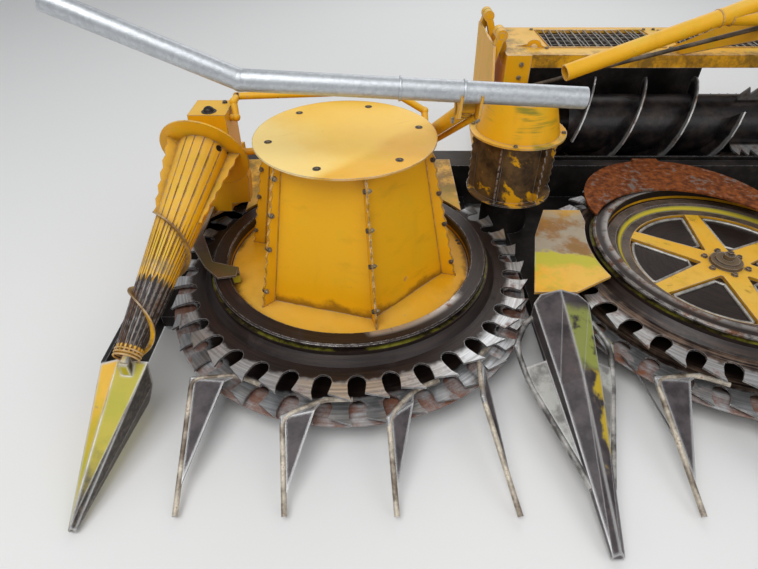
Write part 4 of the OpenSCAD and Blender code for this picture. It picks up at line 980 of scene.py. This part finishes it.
class HEADER_OT_bar_fittings(Dress, bpy.types.Operator):
    """Collars on the galvanised push bars, clamp bolts and weld beads"""

    bl_idname = "header.bar_fittings"
    bl_label = "Push Bar Fittings"

    def make(self, context):
        zinc = galvanised_steel("collar_zinc")
        low, high = along(-1.557, -0.200, 0.936), along(-2.520, -0.200, 0.986)
        way = (high - low).normalized()
        band = (
            (0.0300, 0), (0.0338, 0.0006), (0.0344, 0.002),
            (0.0344, 0.006), (0.0338, 0.0074), (0.0300, 0.008))
        collars = Shell()
        for x in (-1.900, -2.079):
            at = low + way * ((x - low.x) / way.x)
            collars.turned(seat(at - way * 0.004, way), band, 40)
        collars.lay_pair("bar_collars", "wing", "galvanised", zinc)

        chance = random.Random(7)
        beads = Shell()
        arm_x, cheek_bead, cheek_bolt = -1.880, 0.0325, 0.032
        arm, foot = along(arm_x, -0.160, 0.893), along(-2.040, 0.850, 0.256)
        for hand in (-1, 1):
            cheek = along(arm_x + hand * cheek_bead, -0.160, 0.893)
            beads.ring(seat(cheek, (1, 0, 0)), 0.0185, 0.0028, lumps=chance)
        beads.ring(seat(arm + (foot - arm).normalized() * 0.022, foot - arm), 0.0245, 0.0030, 48, chance)
        beads.lay_pair("bracket_welds", "wing", "yellow_paint", coat("weld_paint", grime_and_shade=0.9, chips=0.5))

        bolts = Shell()
        for hand, kind in ((-1, "hex"), (1, "nut")):
            at = along(arm_x + hand * cheek_bolt, -0.135, 0.845)
            bolts.bolt(seat(at, (hand, 0, 0), 9), 0.016, kind)
        bolts.lay_pair("clamp_bolts", "wing", "galvanised", hardware("clamp_bolt"))

        middle = Shell()
        end, joint = along(-1.437, 0.360, 0.825), along(-0.866, 0.460, 0.995)
        run = (joint - end).normalized()
        middle.ring(seat(joint - run * 0.012, run), 0.0302, 0.0032, 48, chance)
        middle.ring(seat(joint + Vector((0.034, 0, 0)), (1, 0, 0)), 0.0285, 0.0032, 48, chance)
        middle.both_halves()
        middle.lay("bar_welds", "middle", "yellow_paint", coat("bar_weld_paint", grime_and_shade=0.9))


class HEADER_OT_deck_fittings(Dress, bpy.types.Operator):
    """Window frames, slanted wires and bolts of the deck and its side flanges"""

    bl_idname = "header.deck_fittings"
    bl_label = "Deck Frames and Bolts"

    def make(self, context):
        fittings = context.scene.header_fittings
        half, front, back, frame_z = 0.288, 1.067, 1.383, 0.7215
        aside, ahead, deck_z, slant = 0.016, 0.014, 0.720, 0.012
        frames, wires, bolts = Shell(), Shell(), Shell()
        for x in (-1.010, -0.350):
            corners = [(x - half, front), (x + half, front), (x + half, back), (x - half, back)]
            frames.rod([along(px, py, frame_z) for px, py in corners], 0.0045, 8, True)
            for i in range(15):
                px = x - 0.26 + 0.52 * i / 14
                bowed = ((px - slant, 1.07, 0.7222), (px, 1.225, 0.7236), (px + slant, 1.38, 0.7222))
                wires.rod([along(*p) for p in bowed], fittings.wire, 8)
            for px, py in corners:
                out_x, out_y = (aside if px > x else -aside), (ahead if py == back else -ahead)
                bolts.bolt(seat(along(px + out_x, py + out_y, deck_z)), fittings.bolt)
        for x, z in ((-1.454, 0.678), (-1.458, 0.617)):
            bolts.bolt(seat(along(x, 0.940, z), (0, -1, 0)), fittings.bolt * 1.1)
        for shell in (bolts, frames, wires):
            shell.both_halves()
        steel, dull = hardware("wire_steel"), hardware("deck_bolt")
        frames.lay("window_frames", "middle", "yellow_paint", coat("window_paint", chips=1.0, grime_and_shade=0.9))
        wires.lay("window_wires", "middle", "dark_steel", steel)
        bolts.lay("deck_bolts", "middle", "dark_steel", dull)


# Name, place, aim, size and share of the key lamp's strength
LAMPS = (
    ("key_lamp", (-3.5, -3.0, 5.5), (-1.6, -0.2, 0.3), 4.0, 1.0),
    ("fill_lamp", (2.5, -4.5, 4.5), (-0.8, 0.0, 0.3), 5.0, 0.45),
    ("back_lamp", (-0.5, 5.5, 4.5), (-0.8, 0.0, 0.3), 5.0, 0.6),
)
EYE = (-2.1375, -1.9059, 1.4762)
EYE_TILT = 50.28  # degrees up from straight down


class HEADER_OT_studio(Dress, bpy.types.Operator):
    """Makes the pale floor, the soft lamps and the camera"""

    bl_idname = "header.studio"
    bl_label = "Studio"

    def make(self, context):
        scene = context.scene
        studio = scene.header_studio
        scene.view_settings.view_transform = "Standard"

        mesh = bpy.data.meshes.new("floor")
        form = bmesh.new()
        bmesh.ops.create_grid(form, x_segments=2, y_segments=2, size=60)
        form.to_mesh(mesh)
        form.free()
        floor = placed("floor", mesh)
        f = Finish("floor_finish", roughness=0.9)
        grain = f.noise(2.0, 3.0, 0.5)
        f.set(Base_Color=f.mix(grain, [c * 0.985 for c in studio.floor], studio.floor))
        mesh.materials.append(f.material)

        world = bpy.data.worlds.new("studio_sky")
        world.use_nodes = True
        sky = world.node_tree.nodes["Background"]
        sky.inputs["Color"].default_value = (0.95, 0.97, 1.0, 1)
        sky.inputs["Strength"].default_value = studio.sky
        scene.world = world

        for name, place, aim, size, share in LAMPS:
            light = bpy.data.lights.new(name, "AREA")
            light.shape = "SQUARE"
            light.size = size
            light.energy = studio.key * share
            lamp = placed(name, light)
            lamp.location = place
            lamp.rotation_euler = (Vector(aim) - Vector(place)).to_track_quat("-Z", "Y").to_euler()

        camera = bpy.data.cameras.new("camera")
        camera.lens = studio.lens
        camera.sensor_width = 36
        camera.clip_end = 200
        eye = placed("camera", camera)
        eye.location = EYE
        eye.rotation_euler = (math.radians(EYE_TILT), 0, 0)
        scene.camera = eye


OPERATORS = (
    HEADER_OT_paint,
    HEADER_OT_steel,
    HEADER_OT_drum_fittings,
    HEADER_OT_cap_fittings,
    HEADER_OT_point_bars,
    HEADER_OT_side_fittings,
    HEADER_OT_feed_fittings,
    HEADER_OT_bar_fittings,
    HEADER_OT_deck_fittings,
    HEADER_OT_studio,
)


class HEADER_PT_panel(bpy.types.Panel):
    """Lists what dresses the header"""

    bl_idname = "HEADER_PT_panel"
    bl_label = "Forage Header"
    bl_space_type = "VIEW_3D"
    bl_region_type = "UI"
    bl_category = "Header"

    def draw(self, context):
        for name, group in GROUPS:
            box = self.layout.box()
            box.label(text=name.split("_")[1].title())
            for key in group.__annotations__:
                box.prop(getattr(context.scene, name), key)
        for kind in OPERATORS:
            self.layout.operator(kind.bl_idname)


GROUPS = (
    ("header_colours", HeaderColours),
    ("header_fittings", HeaderFittings),
    ("header_studio", HeaderStudio),
)


def register():
    for name, group in GROUPS:
        bpy.utils.register_class(group)
        setattr(bpy.types.Scene, name, PointerProperty(type=group))
    for kind in (*OPERATORS, HEADER_PT_panel):
        bpy.utils.register_class(kind)


def unregister():
    for kind in reversed((*OPERATORS, HEADER_PT_panel)):
        bpy.utils.unregister_class(kind)
    for name, group in reversed(GROUPS):
        delattr(bpy.types.Scene, name)
        bpy.utils.unregister_class(group)


def main():
    register()
    for kind in OPERATORS:
        group, name = kind.bl_idname.split(".")
        getattr(getattr(bpy.ops, group), name)()


if __name__ == "__main__":
    main()
